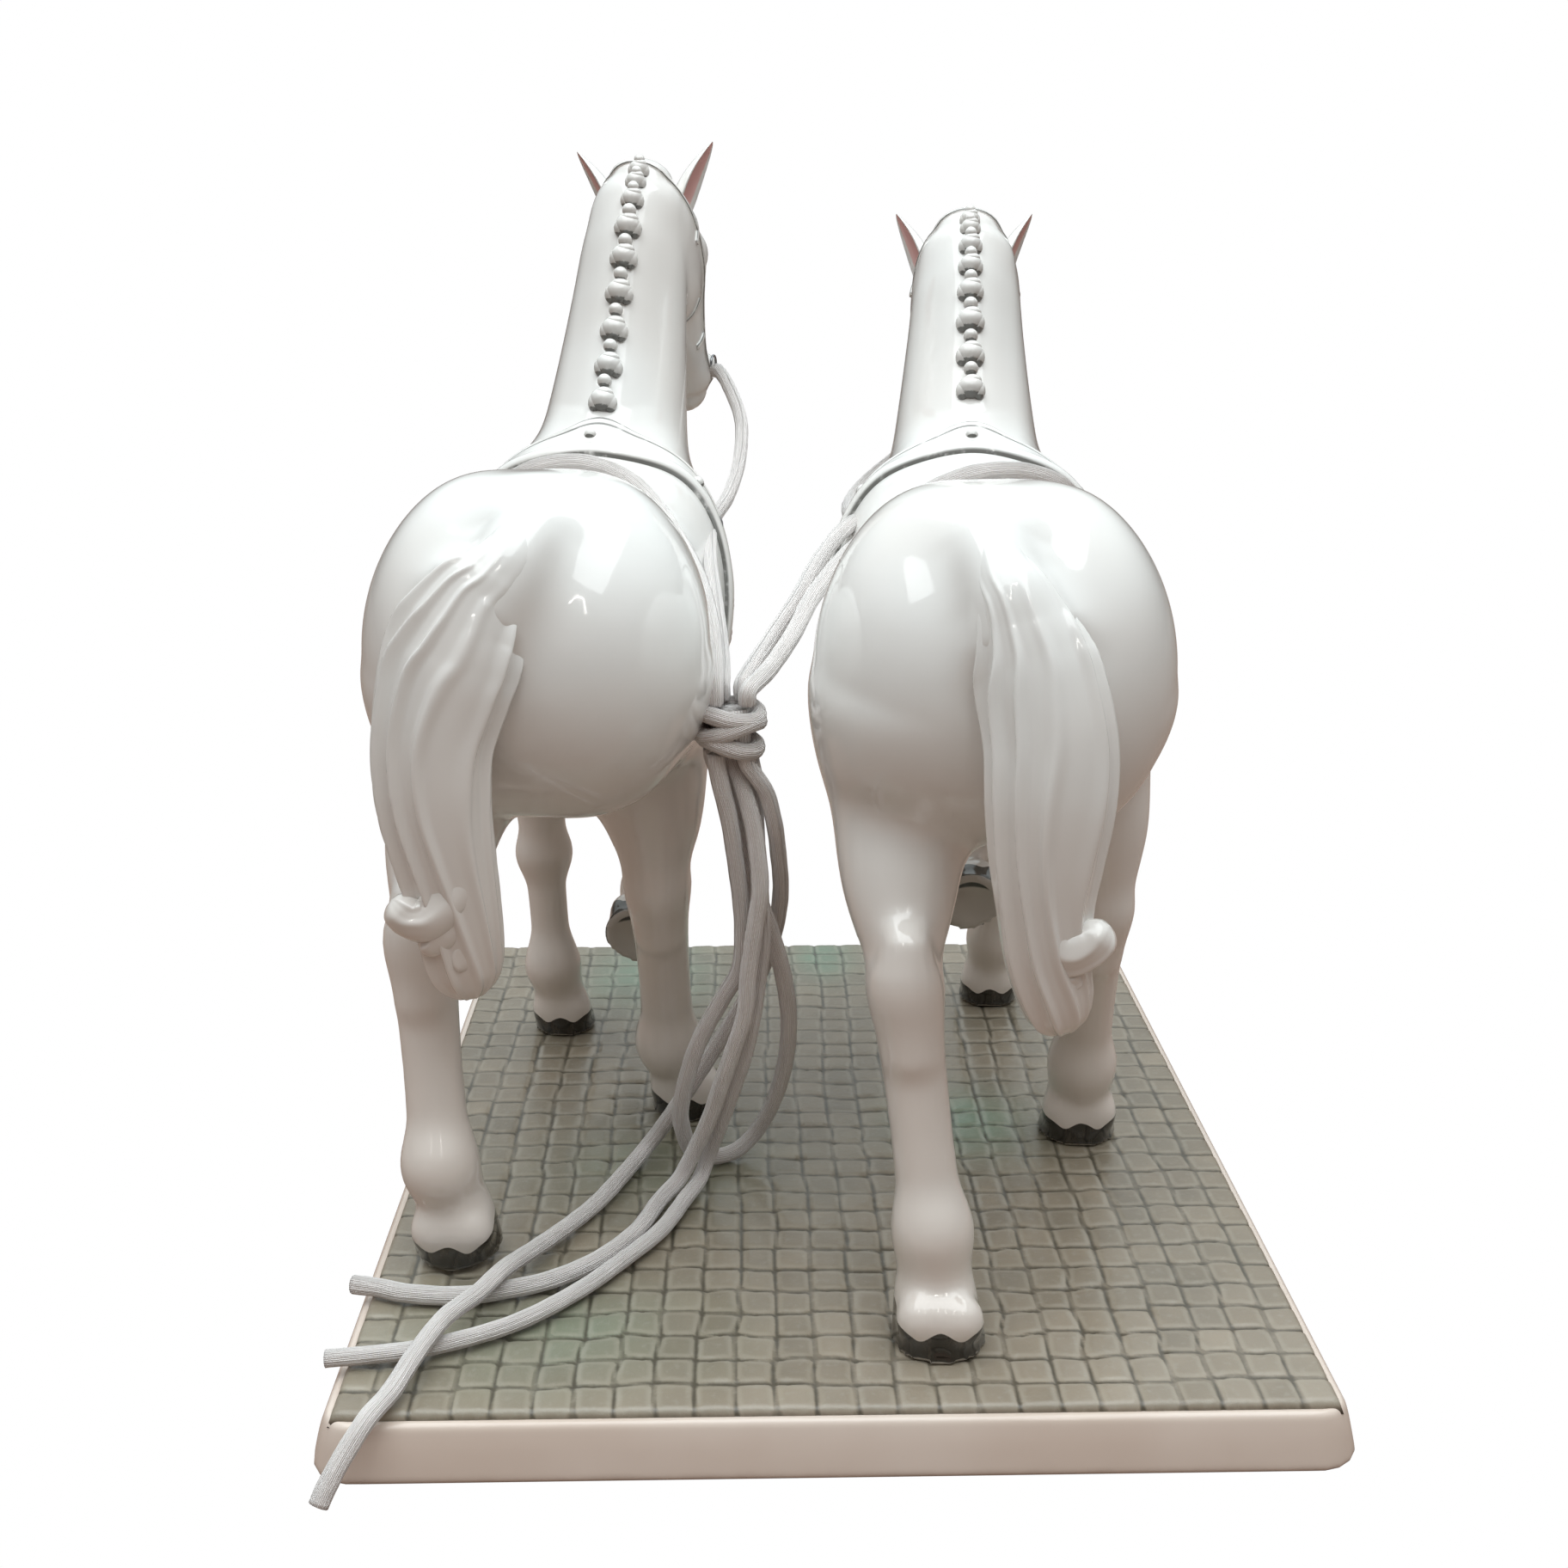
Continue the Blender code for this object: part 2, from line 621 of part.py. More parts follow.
def girth_slab(horse, margin):
    """The slab that the girth is cut from, grown by a margin."""
    width = GIRTH_WIDTH * horse.unit + 2 * margin
    height = sum(GIRTH_REACH) + 2 * margin
    middle = Vector(GIRTH_MIDDLE) - lean_vector() * (GIRTH_REACH[0] - GIRTH_REACH[1]) / 2
    return slab(horse, "girth", middle, (200, width, height), GIRTH_LEAN)


def build_girth(horse, inner, outer):
    """The girth, a band round the barrel and over the withers."""
    volume = girth_slab(horse, 0.0)
    boolean(volume, outer, "INTERSECT")
    boolean(volume, inner, "DIFFERENCE")
    for angle in GIRTH_STUD_ANGLES:
        add_stud(horse, volume, inner, girth_aim(angle))
    shape = volume.data.copy()
    horse.finish("girth", volume)
    return shape


def build_breast_strap(horse, inner, outer):
    """The breast strap, from the girth forward round the chest."""
    width = BREAST_STRAP_WIDTH * horse.unit
    gap = GIRTH_WIDTH * horse.unit / 2 + SEAM * horse.unit
    volume = slab(horse, "breast_strap", (0, 140, BREAST_HEIGHT), (200, 120, width))
    lean = math.radians(GIRTH_LEAN)
    back = Vector(GIRTH_MIDDLE) + Vector((0, math.cos(lean), -math.sin(lean))) * (gap - 100)
    behind = slab(horse, "behind_girth", back, (220, 200, 300), GIRTH_LEAN)
    boolean(volume, behind, "DIFFERENCE")
    drop(behind)
    boolean(volume, outer, "INTERSECT")
    boolean(volume, inner, "DIFFERENCE")
    hub = Vector((0, BREAST_HUB, BREAST_HEIGHT))
    for angle in BREAST_STUD_TURNS:
        turn = math.radians(angle)
        out = Vector((math.sin(turn), math.cos(turn), 0))
        add_stud(horse, volume, inner, (hub + out * RAY_REACH, -out))
    return horse.finish("breast_strap", volume)


def head_matrix(horse):
    """Turn and place of the head at the poll."""
    pose = horse.pose
    turn = Matrix.Rotation(-math.radians(pose["face_turn"]), 4, "Z")
    lift = Matrix.Rotation(math.radians(pose["face_lift"]), 4, "X")
    return Matrix.Translation(Vector(pose["poll"])) @ turn @ lift


def build_bridle(horse, inner, outer):
    """The bridle: a cheek loop from the poll to the mouth and a noseband."""
    width = BRIDLE_STRAP_WIDTH * horse.unit
    place = head_matrix(horse)
    cheek = Vector((0, MOUTH_CORNER[0], -MOUTH_CORNER[1])) - Vector(CROWN_PLACE)
    fall = math.degrees(math.atan2(cheek.y, -cheek.z))
    loop = slab(horse, "cheek_loop", (0, 0, 0), (60, width, cheek.length + 12), -fall)
    loop.data.transform(place @ Matrix.Translation(Vector(CROWN_PLACE) + cheek * 0.45))
    band = slab(horse, "noseband", (0, 0, 0), (60, NOSEBAND_DEPTH, width), -fall)
    band.data.transform(place @ Matrix.Translation((0, NOSEBAND_PLACE[0], -NOSEBAND_PLACE[1])))
    boolean(loop, band, "UNION")
    drop(band)
    boolean(loop, outer, "INTERSECT")
    boolean(loop, inner, "DIFFERENCE")
    return horse.finish("bridle", loop)


def build_ears(horse, inner):
    """Two ears, luted to the poll."""
    for side, (base, tip) in zip(("left", "right"), horse.pose["ears"]):
        base = Vector(base)
        tip = Vector(tip)
        stations = []
        for share, wide, deep in EAR:
            place = base.lerp(tip, share)
            stations.append((place.x, place.y, place.z, wide, deep))
        ear = horse.helper("ear", loft("ear", path_rings(stations), 8))
        boolean(ear, inner, "DIFFERENCE")
        horse.finish("ear_" + side, ear)


def crest_point(horse, share):
    """A point of the mane's line: the back of the neck ring at a share of its length."""
    poll = horse.pose["poll"]
    middle = neck_point(poll, share)
    along = (neck_point(poll, share + 0.01) - neck_point(poll, share - 0.01)).normalized()
    side = (Vector((1, 0, 0)) - along * along.x).normalized()
    back = side.cross(along)
    shares = [ring[0] for ring in NECK]
    after = next(number for number, value in enumerate(shares) if value >= share)
    low, high = NECK[max(after - 1, 0)], NECK[after]
    blend = (share - low[0]) / max(high[0] - low[0], 1e-6)
    return middle + back * (low[2] + (high[2] - low[2]) * blend)


def build_harness(horse):
    """Everything that is laid on one horse."""
    seam = SEAM * horse.unit
    thick = STRAP_THICKNESS * horse.unit
    unseen = ("tail", "hind_leg_near", "hind_leg_off")
    inner = horse.whole(seam, unseen)
    outer = horse.whole(seam + thick, unseen)
    girth = horse.helper("girth_copy", build_girth(horse, inner, outer))
    build_breast_strap(horse, inner, outer)
    build_bridle(horse, inner, outer)
    build_ears(horse, inner)
    build_plaits(horse, inner)
    build_rings(horse, girth, outer)
    drop(inner, outer, girth)


def ball(radius, place, segments=10, rings=6):
    """A sphere mesh."""
    shape = bmesh.new()
    bmesh.ops.create_uvsphere(shape, u_segments=segments, v_segments=rings, radius=radius)
    bmesh.ops.translate(shape, verts=shape.verts, vec=place)
    return shape


def build_plaits(horse, inner):
    """The mane, rolled into a row of plaits along the crest, a small roll between each pair."""
    row = None
    steps = 2 * PLAIT_COUNT - 1
    for number in range(steps):
        share = PLAIT_FIRST + (PLAIT_LAST - PLAIT_FIRST) * number / (steps - 1)
        radius = PLAIT_RADIUS if number % 2 == 0 else PLAIT_SMALL_RADIUS
        place = crest_point(horse, share)
        roll = horse.helper("plait", mesh_from_bmesh("plait", ball(radius, place, 7, 4)))
        if row is None:
            row = roll
        else:
            boolean(row, roll, "UNION")
            drop(roll)
    boolean(row, inner, "DIFFERENCE")
    band = girth_slab(horse, SEAM * horse.unit)
    boolean(row, band, "DIFFERENCE")
    drop(band)
    return horse.finish("mane_plaits", row)


def ring_mesh(radius, wire, turn, place):
    """A wire ring as a torus, turned by a matrix and placed."""
    bpy.ops.mesh.primitive_torus_add(
        major_radius=radius, minor_radius=wire / 2, major_segments=12, minor_segments=5
    )
    ring = bpy.context.active_object
    mesh = ring.data.copy()
    drop(ring)
    mesh.transform(Matrix.Translation(place) @ turn)
    return mesh


def build_rings(horse, girth, outer):
    """Two terret rings on the girth and two bit rings at the corners of the mouth."""
    unit = horse.unit
    wire = RING_WIRE * unit
    gap = SEAM * unit
    head = head_matrix(horse)
    for side, sign in (("left", -1), ("right", 1)):
        start = Vector((sign * RAY_REACH, GIRTH_MIDDLE[1], horse.pose["terret_height"]))
        place = surface_point(girth, (start, Vector((-sign, 0, 0))))
        radius = TERRET_RADIUS * unit
        middle = place + Vector((sign * (radius + wire / 2 + 2 * gap), 0, 0))
        turn = Matrix.Rotation(math.radians(90), 4, "X")
        ring = horse.helper("terret", ring_mesh(radius, wire, turn, middle))
        horse.finish("terret_" + side, ring, "wire")
        mouth = head @ Vector((0, MOUTH_CORNER[0], -MOUTH_CORNER[1]))
        out = (head.to_3x3() @ Vector((sign, 0, 0))).normalized()
        place = surface_point(outer, (mouth + out * RAY_REACH, -out))
        middle = place + out * (wire / 2 + gap)
        turn = head.to_3x3().to_4x4() @ Matrix.Rotation(math.radians(90), 4, "Y")
        ring = horse.helper("bit_ring", ring_mesh(BIT_RING_RADIUS * unit, wire, turn, middle))
        horse.finish("bit_ring_" + side, ring, "wire")


# ------------------------------------------------------------------------ the base

def rounded_plate(width, length, corner, segments=4):
    """A flat rounded rectangle of points, counter-clockwise."""
    points = []
    for turn, (x, y) in enumerate(((1, 1), (-1, 1), (-1, -1), (1, -1))):
        middle = Vector((x * (width / 2 - corner), y * (length / 2 - corner)))
        for step in range(segments + 1):
            angle = math.radians(90 * turn + 90 * step / segments)
            points.append(middle + Vector((math.cos(angle), math.sin(angle))) * corner)
    return points


def frustum(name, low, high, bottom, top):
    """A closed solid between two outlines of as many points."""
    shape = bmesh.new()
    first = [shape.verts.new((point.x, point.y, bottom)) for point in low]
    second = [shape.verts.new((point.x, point.y, top)) for point in high]
    count = len(first)
    for step in range(count):
        after = (step + 1) % count
        shape.faces.new((first[step], first[after], second[after], second[step]))
    shape.faces.new(list(reversed(first)))
    shape.faces.new(second)
    return mesh_from_bmesh(name, shape)


def build_base(parts, helpers):
    """The plinth, a flared shell open underneath, with the cobbled slab set into its top."""
    foot_width = PAVING_WIDTH + 2 * PLINTH_FLARE
    foot_length = PAVING_LENGTH + 2 * PLINTH_FLARE
    bottom = PAD_HEIGHT
    top = PAVING_TOP - SEAM
    low = rounded_plate(foot_width, foot_length, PLINTH_CORNER)
    high = rounded_plate(PAVING_WIDTH + 0.002, PAVING_LENGTH + 0.002, PLINTH_CORNER - 0.003)
    plinth = add_object("plinth", frustum("plinth", low, high, bottom, top), parts, "plinth_glaze")
    cavity_width = PAVING_WIDTH - 2 * PLINTH_WALL
    cavity_length = PAVING_LENGTH - 2 * PLINTH_WALL
    cavity = rounded_plate(cavity_width, cavity_length, PAVING_CORNER)
    roof = PAVING_TOP - PAVING_THICKNESS - PLINTH_WALL
    hollow = add_object("hollow", frustum("hollow", cavity, cavity, -0.01, roof), helpers)
    seat = rounded_plate(PAVING_WIDTH, PAVING_LENGTH, PAVING_CORNER)
    floor = PAVING_TOP - PAVING_THICKNESS
    recess = add_object("recess", frustum("recess", seat, seat, floor, top + 0.01), helpers)
    for cutter in (hollow, recess):
        cutter.hide_render = True
        cutter.display_type = "WIRE"
        boolean(plinth, cutter, "DIFFERENCE")
    drop(hollow, recess)
    slab_width = PAVING_WIDTH - 2 * SEAM
    slab_length = PAVING_LENGTH - 2 * SEAM
    outline = rounded_plate(slab_width, slab_length, PAVING_CORNER - SEAM)
    paving = frustum("cobble_paving", outline, outline, floor + SEAM, PAVING_TOP)
    add_object("cobble_paving", paving, parts, "cobble_glaze")
    corners = {"front_left": (-1, -1), "front_right": (1, -1), "back_left": (-1, 1), "back_right": (1, 1)}
    for label, (x, y) in corners.items():
        bpy.ops.mesh.primitive_cylinder_add(vertices=20, radius=PAD_RADIUS, depth=PAD_HEIGHT - SEAM)
        pad = bpy.context.active_object
        mesh = pad.data.copy()
        drop(pad)
        place = Vector((
            x * (foot_width / 2 - PAD_INSET),
            y * (foot_length / 2 - PAD_INSET),
            (PAD_HEIGHT - SEAM) / 2,
        ))
        mesh.transform(Matrix.Translation(place))
        item = add_object("pad_" + label, mesh, parts, "felt")
        smooth(item)


# ------------------------------------------------------------------------ the reins

def smooth_route(points, spacing):
    """Points at even distances along a Catmull-Rom curve through the given ones, in metres."""
    knots = [Vector(point) / 1000.0 for point in points]
    knots = [2 * knots[0] - knots[1]] + knots + [2 * knots[-1] - knots[-2]]
    fine = []
    for a, b, c, d in zip(knots, knots[1:], knots[2:], knots[3:]):
        for step in range(20):
            t = step / 20
            fine.append(0.5 * (
                2 * b + (c - a) * t + (2 * a - 5 * b + 4 * c - d) * t ** 2
                + (3 * b - a - 3 * c + d) * t ** 3
            ))
    fine.append(knots[-2])
    lengths = [0.0]
    for first, second in zip(fine, fine[1:]):
        lengths.append(lengths[-1] + (second - first).length)
    count = max(round(lengths[-1] / spacing), 2)
    goals = [lengths[-1] * number / count for number in range(count + 1)]
    goals = [0.0, END_STRETCH] + goals[1:-1] + [lengths[-1] - END_STRETCH, lengths[-1]]
    route = []
    reached = 0
    for goal in goals:
        while reached < len(lengths) - 2 and lengths[reached + 1] < goal:
            reached += 1
        share = (goal - lengths[reached]) / max(lengths[reached + 1] - lengths[reached], 1e-9)
        route.append(fine[reached].lerp(fine[reached + 1], min(share, 1.0)))
    return route


def cord_tube(name, points, parts):
    """One run of a rein, a round tube along its route."""
    curve = bpy.data.curves.new(name, "CURVE")
    curve.dimensions = "3D"
    curve.bevel_depth = CORD_DIAMETER / 2
    curve.bevel_resolution = 2
    curve.use_fill_caps = True
    route = smooth_route(points, CORD_POINT_SPACING)
    spline = curve.splines.new("POLY")
    spline.points.add(len(route) - 1)
    for point, place in zip(spline.points, route):
        point.co = (*place, 1.0)
    add_object(name, curve, parts, "cord")


def turned_knot(name, middle, radius, depth, height, parts):
    """A knot's outer form: a short round barrel with flat ends."""
    rings = []
    for level, share in ((-1.0, 0.93), (-0.6, 1.0), (0.6, 1.0), (1.0, 0.93)):
        place = Vector(middle) + Vector((0, 0, height / 2 * level))
        rings.append((place, Vector((radius * share, 0, 0)), Vector((0, depth * share, 0)), 0.0))
    knot = add_object(name, loft(name, rings, 16), parts, "cord")
    smooth(knot)


def build_reins(parts):
    """Four reins, each an upper and a lower run, and the knot that gathers them."""
    middle = Vector(KNOT_PLACE) / 1000.0
    turned_knot("rein_knot", middle, KNOT_RADIUS, KNOT_DEPTH, KNOT_HEIGHT, parts)
    for label, runs in REINS.items():
        for run, points in runs.items():
            cord_tube("rein_" + label + "_" + run, points, parts)


def main():
    """Build every piece."""
    clear_scene()
    parts = new_collection("driving_pair")
    helpers = new_collection("guides")
    build_base(parts, helpers)
    for name in ("near", "off"):
        horse = Horse(name, parts, helpers)
        build_castings(horse)
        build_harness(horse)
    build_reins(parts)
    for item in parts.objects:
        item.data.transform(Matrix.Translation((0, -GROUP_MIDDLE, 0)))


main()
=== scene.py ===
"""The looks of a porcelain driving pair on a cobbled plinth, with satin cord reins.

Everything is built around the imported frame: the skins of the two horses from anatomical masses, their
tails, ears, plaits and harness, the cobbled plinth, the reins and their knots, and a plain stage.
Lengths of the horses are in millimetres of each horse's own frame: x to its right, y forward from the
hips, z up from the paving. Everything else is in metres.
"""

import json
import math

import bpy
import numpy as np
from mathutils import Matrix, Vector

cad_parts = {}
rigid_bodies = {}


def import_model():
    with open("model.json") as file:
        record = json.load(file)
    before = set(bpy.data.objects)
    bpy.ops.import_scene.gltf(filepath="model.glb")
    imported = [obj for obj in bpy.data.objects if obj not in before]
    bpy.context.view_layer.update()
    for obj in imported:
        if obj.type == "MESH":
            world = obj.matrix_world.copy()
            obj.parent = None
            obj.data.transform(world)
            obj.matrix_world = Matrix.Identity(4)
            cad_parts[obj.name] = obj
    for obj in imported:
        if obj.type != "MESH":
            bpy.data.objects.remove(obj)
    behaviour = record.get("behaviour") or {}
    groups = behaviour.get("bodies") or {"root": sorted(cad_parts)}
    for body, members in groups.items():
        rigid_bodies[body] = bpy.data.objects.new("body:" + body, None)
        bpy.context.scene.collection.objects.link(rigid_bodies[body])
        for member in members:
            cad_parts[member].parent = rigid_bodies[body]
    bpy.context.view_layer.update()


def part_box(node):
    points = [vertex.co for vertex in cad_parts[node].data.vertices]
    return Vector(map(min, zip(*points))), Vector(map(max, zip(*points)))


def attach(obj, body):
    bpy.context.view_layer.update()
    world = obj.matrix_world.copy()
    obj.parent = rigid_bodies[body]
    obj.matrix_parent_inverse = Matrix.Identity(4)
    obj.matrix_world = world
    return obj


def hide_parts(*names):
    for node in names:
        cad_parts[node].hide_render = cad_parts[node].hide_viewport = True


bl_info = {
    "name": "Porcelain driving pair",
    "version": (1, 0, 0),
    "blender": (4, 5, 0),
    "location": "View3D > Sidebar > Driving pair",
    "description": "Builds the looks of a porcelain pair of driving horses on a cobbled plinth",
    "category": "Object",
}

for item in list(bpy.data.objects):
    bpy.data.objects.remove(item, do_unlink=True)

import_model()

# ------------------------------------------------------------------------ dimensions and forms

# How far in front of the plinth's middle the frame's origin is. Everything below is laid out from the
# plinth's middle, and moved back by this as it is made.
GROUP_MIDDLE = 0.01234

PAVING_TOP = 0.019
PAVING_SIZE = (0.250, 0.300)
FOOT_SIZE = (0.260, 0.310)
STONES = (25, 29)
# Green washes on the stones: place from the middle, half width, half length and depth of colour.
GREEN_WASHES = (
    (-0.060, 0.120, 0.022, 0.030, 1.0), (0.008, 0.135, 0.012, 0.022, 0.9), (0.048, -0.004, 0.020, 0.022, 0.8),
    (-0.075, -0.118, 0.040, 0.025, 0.45), (-0.050, -0.030, 0.035, 0.030, 0.35),
)
PLINTH_CORNER = 0.011
CORD_DIAMETER = 0.005

# Where each horse's hips stand on the plinth, and how far it is turned to the right, in degrees.
STANCES = {
    "near": {"hips": (-0.0775, -0.048), "turn": 3.5},
    "off": {"hips": (0.0425, -0.072), "turn": 3.5},
}

# Trunk rings: x, y, z, half width, half height, and how square the ring is to the axis.
TRUNK = (
    (0, 2, 169.5, 41, 43, 1), (0, 16, 167, 42, 44, 1), (0, 40, 158, 42, 46, 1), (0, 64, 153, 42.5, 47, 1),
    (0, 88, 154, 42, 50, 1), (0, 110, 156, 40, 54, 1), (0, 128, 154, 36, 53, 1), (0, 145, 149, 30, 43, 1),
    (0, 156, 146, 22, 28, 1),
)
RUMP_CAP, CHEST_CAP = 41.0, 7.0

# Neck rings: share of the way from chest to poll, half width, half depth.
NECK = (
    (0.00, 30, 38), (0.20, 27.5, 34), (0.40, 24, 29), (0.58, 21.5, 24.5), (0.74, 19.5, 22),
    (0.88, 17.8, 19.5), (1.00, 14.5, 14.5), (1.05, 10, 11),
)
NECK_FOOT = (0, 126, 172)

# Head rings: forward and down from the poll, half width, half depth.
HEAD = (
    (-3, 3, 11, 10), (2, 8, 14.5, 14.5), (8, 16, 16.5, 18), (15, 29, 15.2, 18), (22, 45, 12, 14),
    (29, 61, 9.6, 10.6), (34, 72, 9.6, 10), (35, 76, 7.5, 8),
)

# Leg rings: joint they start from, share of the way to the next one, half width, half depth.
HIND_LEG = (
    ("hip", 0.00, 9, 14), ("hip", 0.14, 15, 25), ("hip", 0.34, 18.6, 32.5), ("hip", 0.75, 18.5, 31),
    ("stifle", 0.10, 16.5, 24), ("stifle", 0.45, 13.3, 16.5), ("stifle", 0.80, 9.8, 11.5),
    ("hock", 0.00, 10.2, 12.2), ("hock", 0.22, 8.6, 9.4), ("hock", 0.55, 8.0, 8.0), ("hock", 0.85, 8.3, 8.3),
    ("fetlock", 0.00, 8.9, 9.2), ("fetlock", 0.50, 9.2, 9.0), ("coronet", 0.00, 10.6, 10.2),
    ("sole", 0.00, 12.3, 12.2),
)
FORE_LEG = (
    ("shoulder", 0.00, 12, 22), ("shoulder", 0.45, 14.5, 25), ("shoulder", 0.90, 12.5, 18),
    ("elbow", 0.35, 10.0, 12.5), ("elbow", 0.80, 8.0, 9.4), ("knee", 0.00, 8.3, 9.6),
    ("knee", 0.25, 6.8, 7.3), ("knee", 0.80, 6.7, 7.1), ("fetlock", 0.00, 8.2, 8.6),
    ("fetlock", 0.50, 8.0, 8.0), ("coronet", 0.00, 9.6, 9.2), ("sole", 0.00, 11.0, 10.9),
)
# How square to the leg the rings below each joint are: 1 is square, 0 is level.
FOLLOW = {
    "hip": 0.15, "stifle": 0.3, "hock": 0.6, "shoulder": 0.1, "elbow": 0.4, "knee": 0.9,
    "fetlock": 1.0, "coronet": 1.0, "sole": 1.0,
}
# Sole heights: a foot above the first is lifted, and one below the second stands flat.
RAISED_SOLE = 20.0
FLAT_SOLE = 2.0
HIND_SOLE_WIDTH = 12.3
FORE_SOLE_WIDTH = 11.0
LEGS = ("hind_leg_near", "hind_leg_off", "fore_leg_near", "fore_leg_off")

# Each horse's pose. A leg is its joints. Plaits stand at shares of the neck's length, and the girth's top
# is carried back by girth_back. A tail and its locks are rings: x, y, z, half width, half depth. An ear is
# its foot and its tip.
POSES = {
    "near": {
        "poll": (10, 172, 286), "face_turn": 12.0, "face_lift": 12.0,
        "girth_back": 16.0, "plaits": (0.37, 0.49, 0.605, 0.715, 0.815, 0.90, 0.975, 1.025, 1.06),
        "hind_leg_near": {
            "hip": (-23, 6, 172), "stifle": (-25, 12, 138), "hock": (-32, -20, 90),
            "fetlock": (-27, -34, 30), "coronet": (-24, -33, 15), "sole": (-24, -31, 3.3),
        },
        "hind_leg_off": {
            "hip": (23, 6, 172), "stifle": (26, 32, 140), "hock": (27, 32, 88),
            "fetlock": (27, 54, 27), "coronet": (31, 58, 12), "sole": (33, 60, 0.4),
        },
        "fore_leg_near": {
            "shoulder": (-24, 122, 160), "elbow": (-24, 118, 118), "knee": (-23, 118, 67),
            "fetlock": (-21, 117, 26), "coronet": (-19, 119, 12), "sole": (-18, 121, 0.4),
        },
        "fore_leg_off": {
            "shoulder": (24, 124, 160), "elbow": (22, 128, 120), "knee": (17, 156, 84),
            "fetlock": (12, 132, 50), "coronet": (11, 120, 42), "sole": (10, 109, 40),
        },
        "tail": (
            (3, -27, 204, 6.5, 6), (0, -34, 198, 7.6, 6.8), (-4, -37.5, 193, 9.6, 7.4),
            (-8, -39.5, 189, 11.8, 8), (-11.3, -41.6, 182, 14.2, 8.8), (-13.7, -43.5, 175, 15.2, 9.3),
            (-15.9, -45, 168, 15, 9.6),
            (-19.2, -46.8, 154, 13.9, 9.6), (-19.6, -47.8, 139, 13.3, 9.4), (-18, -47.7, 124, 12.2, 8.8),
            (-16, -46.8, 108, 11, 7.8), (-15, -45.8, 95, 10, 6.6), (-13.5, -45, 84, 7, 4.4),
        ),
        "locks": (
            ((-13, -46, 133, 6, 5.5), (-15, -49, 118, 7.2, 6.2), (-20.5, -51.5, 110, 6.6, 6),
             (-26, -52.5, 110, 5.8, 5.2), (-30.5, -53, 114.5, 4.4, 4.2)),
            ((-14, -46, 119, 6, 5), (-16.5, -49.5, 108, 6, 5), (-21, -51, 103, 4.6, 4.2),
             (-24.5, -51.5, 103, 2.6, 2.6)),
            ((-12, -46, 111, 6, 5), (-14, -48.5, 100, 5.6, 4.6), (-16.5, -49.5, 93.5, 3.6, 3.2)),
        ),
        "ears": (((-1, 184, 281), (-14, 190, 303)), ((23, 181, 283), (34, 186, 306))),
    },
    "off": {
        "poll": (1, 184, 270), "face_turn": 0.0, "face_lift": 0.0,
        "girth_back": 9.5, "plaits": (0.443, 0.58, 0.705, 0.81, 0.895, 0.965, 1.025, 1.06),
        "hind_leg_near": {
            "hip": (-23, 2, 172), "stifle": (-25, 4, 138), "hock": (-22, -33, 91),
            "fetlock": (-14, -44, 29), "coronet": (-13, -47, 13), "sole": (-12, -50, 0.4),
        },
        "hind_leg_off": {
            "hip": (23, 6, 172), "stifle": (30, 34, 140), "hock": (36, 36, 88),
            "fetlock": (37, 60, 27), "coronet": (37, 63, 12), "sole": (37, 65, 0.4),
        },
        "fore_leg_near": {
            "shoulder": (-24, 124, 160), "elbow": (-20, 128, 122), "knee": (-9, 158, 92),
            "fetlock": (0, 134, 68), "coronet": (3, 121, 62), "sole": (4, 110, 60),
        },
        "fore_leg_off": {
            "shoulder": (24, 122, 160), "elbow": (22, 126, 120), "knee": (19, 148, 70),
            "fetlock": (17, 164, 27), "coronet": (16, 167, 12), "sole": (16, 169, 0.4),
        },
        "tail": (
            (-4, -27, 204, 6.5, 6), (-1.6, -34, 198, 7.4, 6.8), (1, -38.5, 193, 9.1, 7.5),
            (3.6, -41, 186, 11.3, 8.4), (5.7, -43, 180, 12.6, 9), (7.6, -45, 173, 13.5, 9.5),
            (10.3, -48.2, 160, 13.9, 9.9),
            (10.6, -50.3, 147, 13.9, 9.9), (10.1, -51, 133, 12.6, 9.4), (10, -51, 121, 11.2, 8.8),
            (11, -50.6, 108, 10.2, 8), (14, -49.6, 96, 8.8, 6.8), (16.5, -48.5, 86.5, 5.5, 4.2),
        ),
        "locks": (
            ((4, -49, 134, 6, 5.5), (7.5, -51.5, 119, 7.4, 6.2), (14, -53, 111.5, 7, 6.2),
             (20.5, -54, 112.5, 6, 5.2), (25.5, -54.5, 117.5, 4.5, 4.2)),
            ((6, -50, 120, 6.5, 5.5), (11, -51.5, 109, 6.4, 5.2), (16.5, -52.5, 104.5, 4.8, 4.4),
             (20, -53, 105, 2.6, 2.6)),
            ((8, -50, 110, 6, 5), (12, -51, 100, 5.6, 4.6), (15, -51.5, 94, 3.4, 3.2)),
        ),
        "ears": (((-13, 193, 261), (-23, 199, 282)), ((14, 193, 261), (24, 199, 282))),
    },
}

GIRTH_MIDDLE = (0, 112, 184)
GIRTH_LEAN = 16.0
GIRTH_HUB_DROP = 30.0
GIRTH_STUD_ANGLES = (-38.0, 0.0, 38.0)
BREAST_HEIGHT = 152.0
BREAST_HUB = 128.0
BREAST_STUD_TURNS = (-60.0, -30.0, 0.0, 30.0, 60.0)

# Where the reins are gathered, in metres from the plinth's middle.
KNOT_PLACE = (-0.026, -0.048, 0.164)
# The knot's turns: half width, half depth, tilt sideways, lean forward, height and wave of each.
KNOT_TURNS = (
    (0.0078, 0.0064, -0.06, 0.10, 0.0042, 0.0006), (0.0080, 0.0066, 0.20, -0.05, 0.0001, -0.0007),
    (0.0074, 0.0062, -0.20, 0.06, -0.0040, 0.0005),
)
KNOT_CORD = 0.0048
KNOT_HEART = 0.011

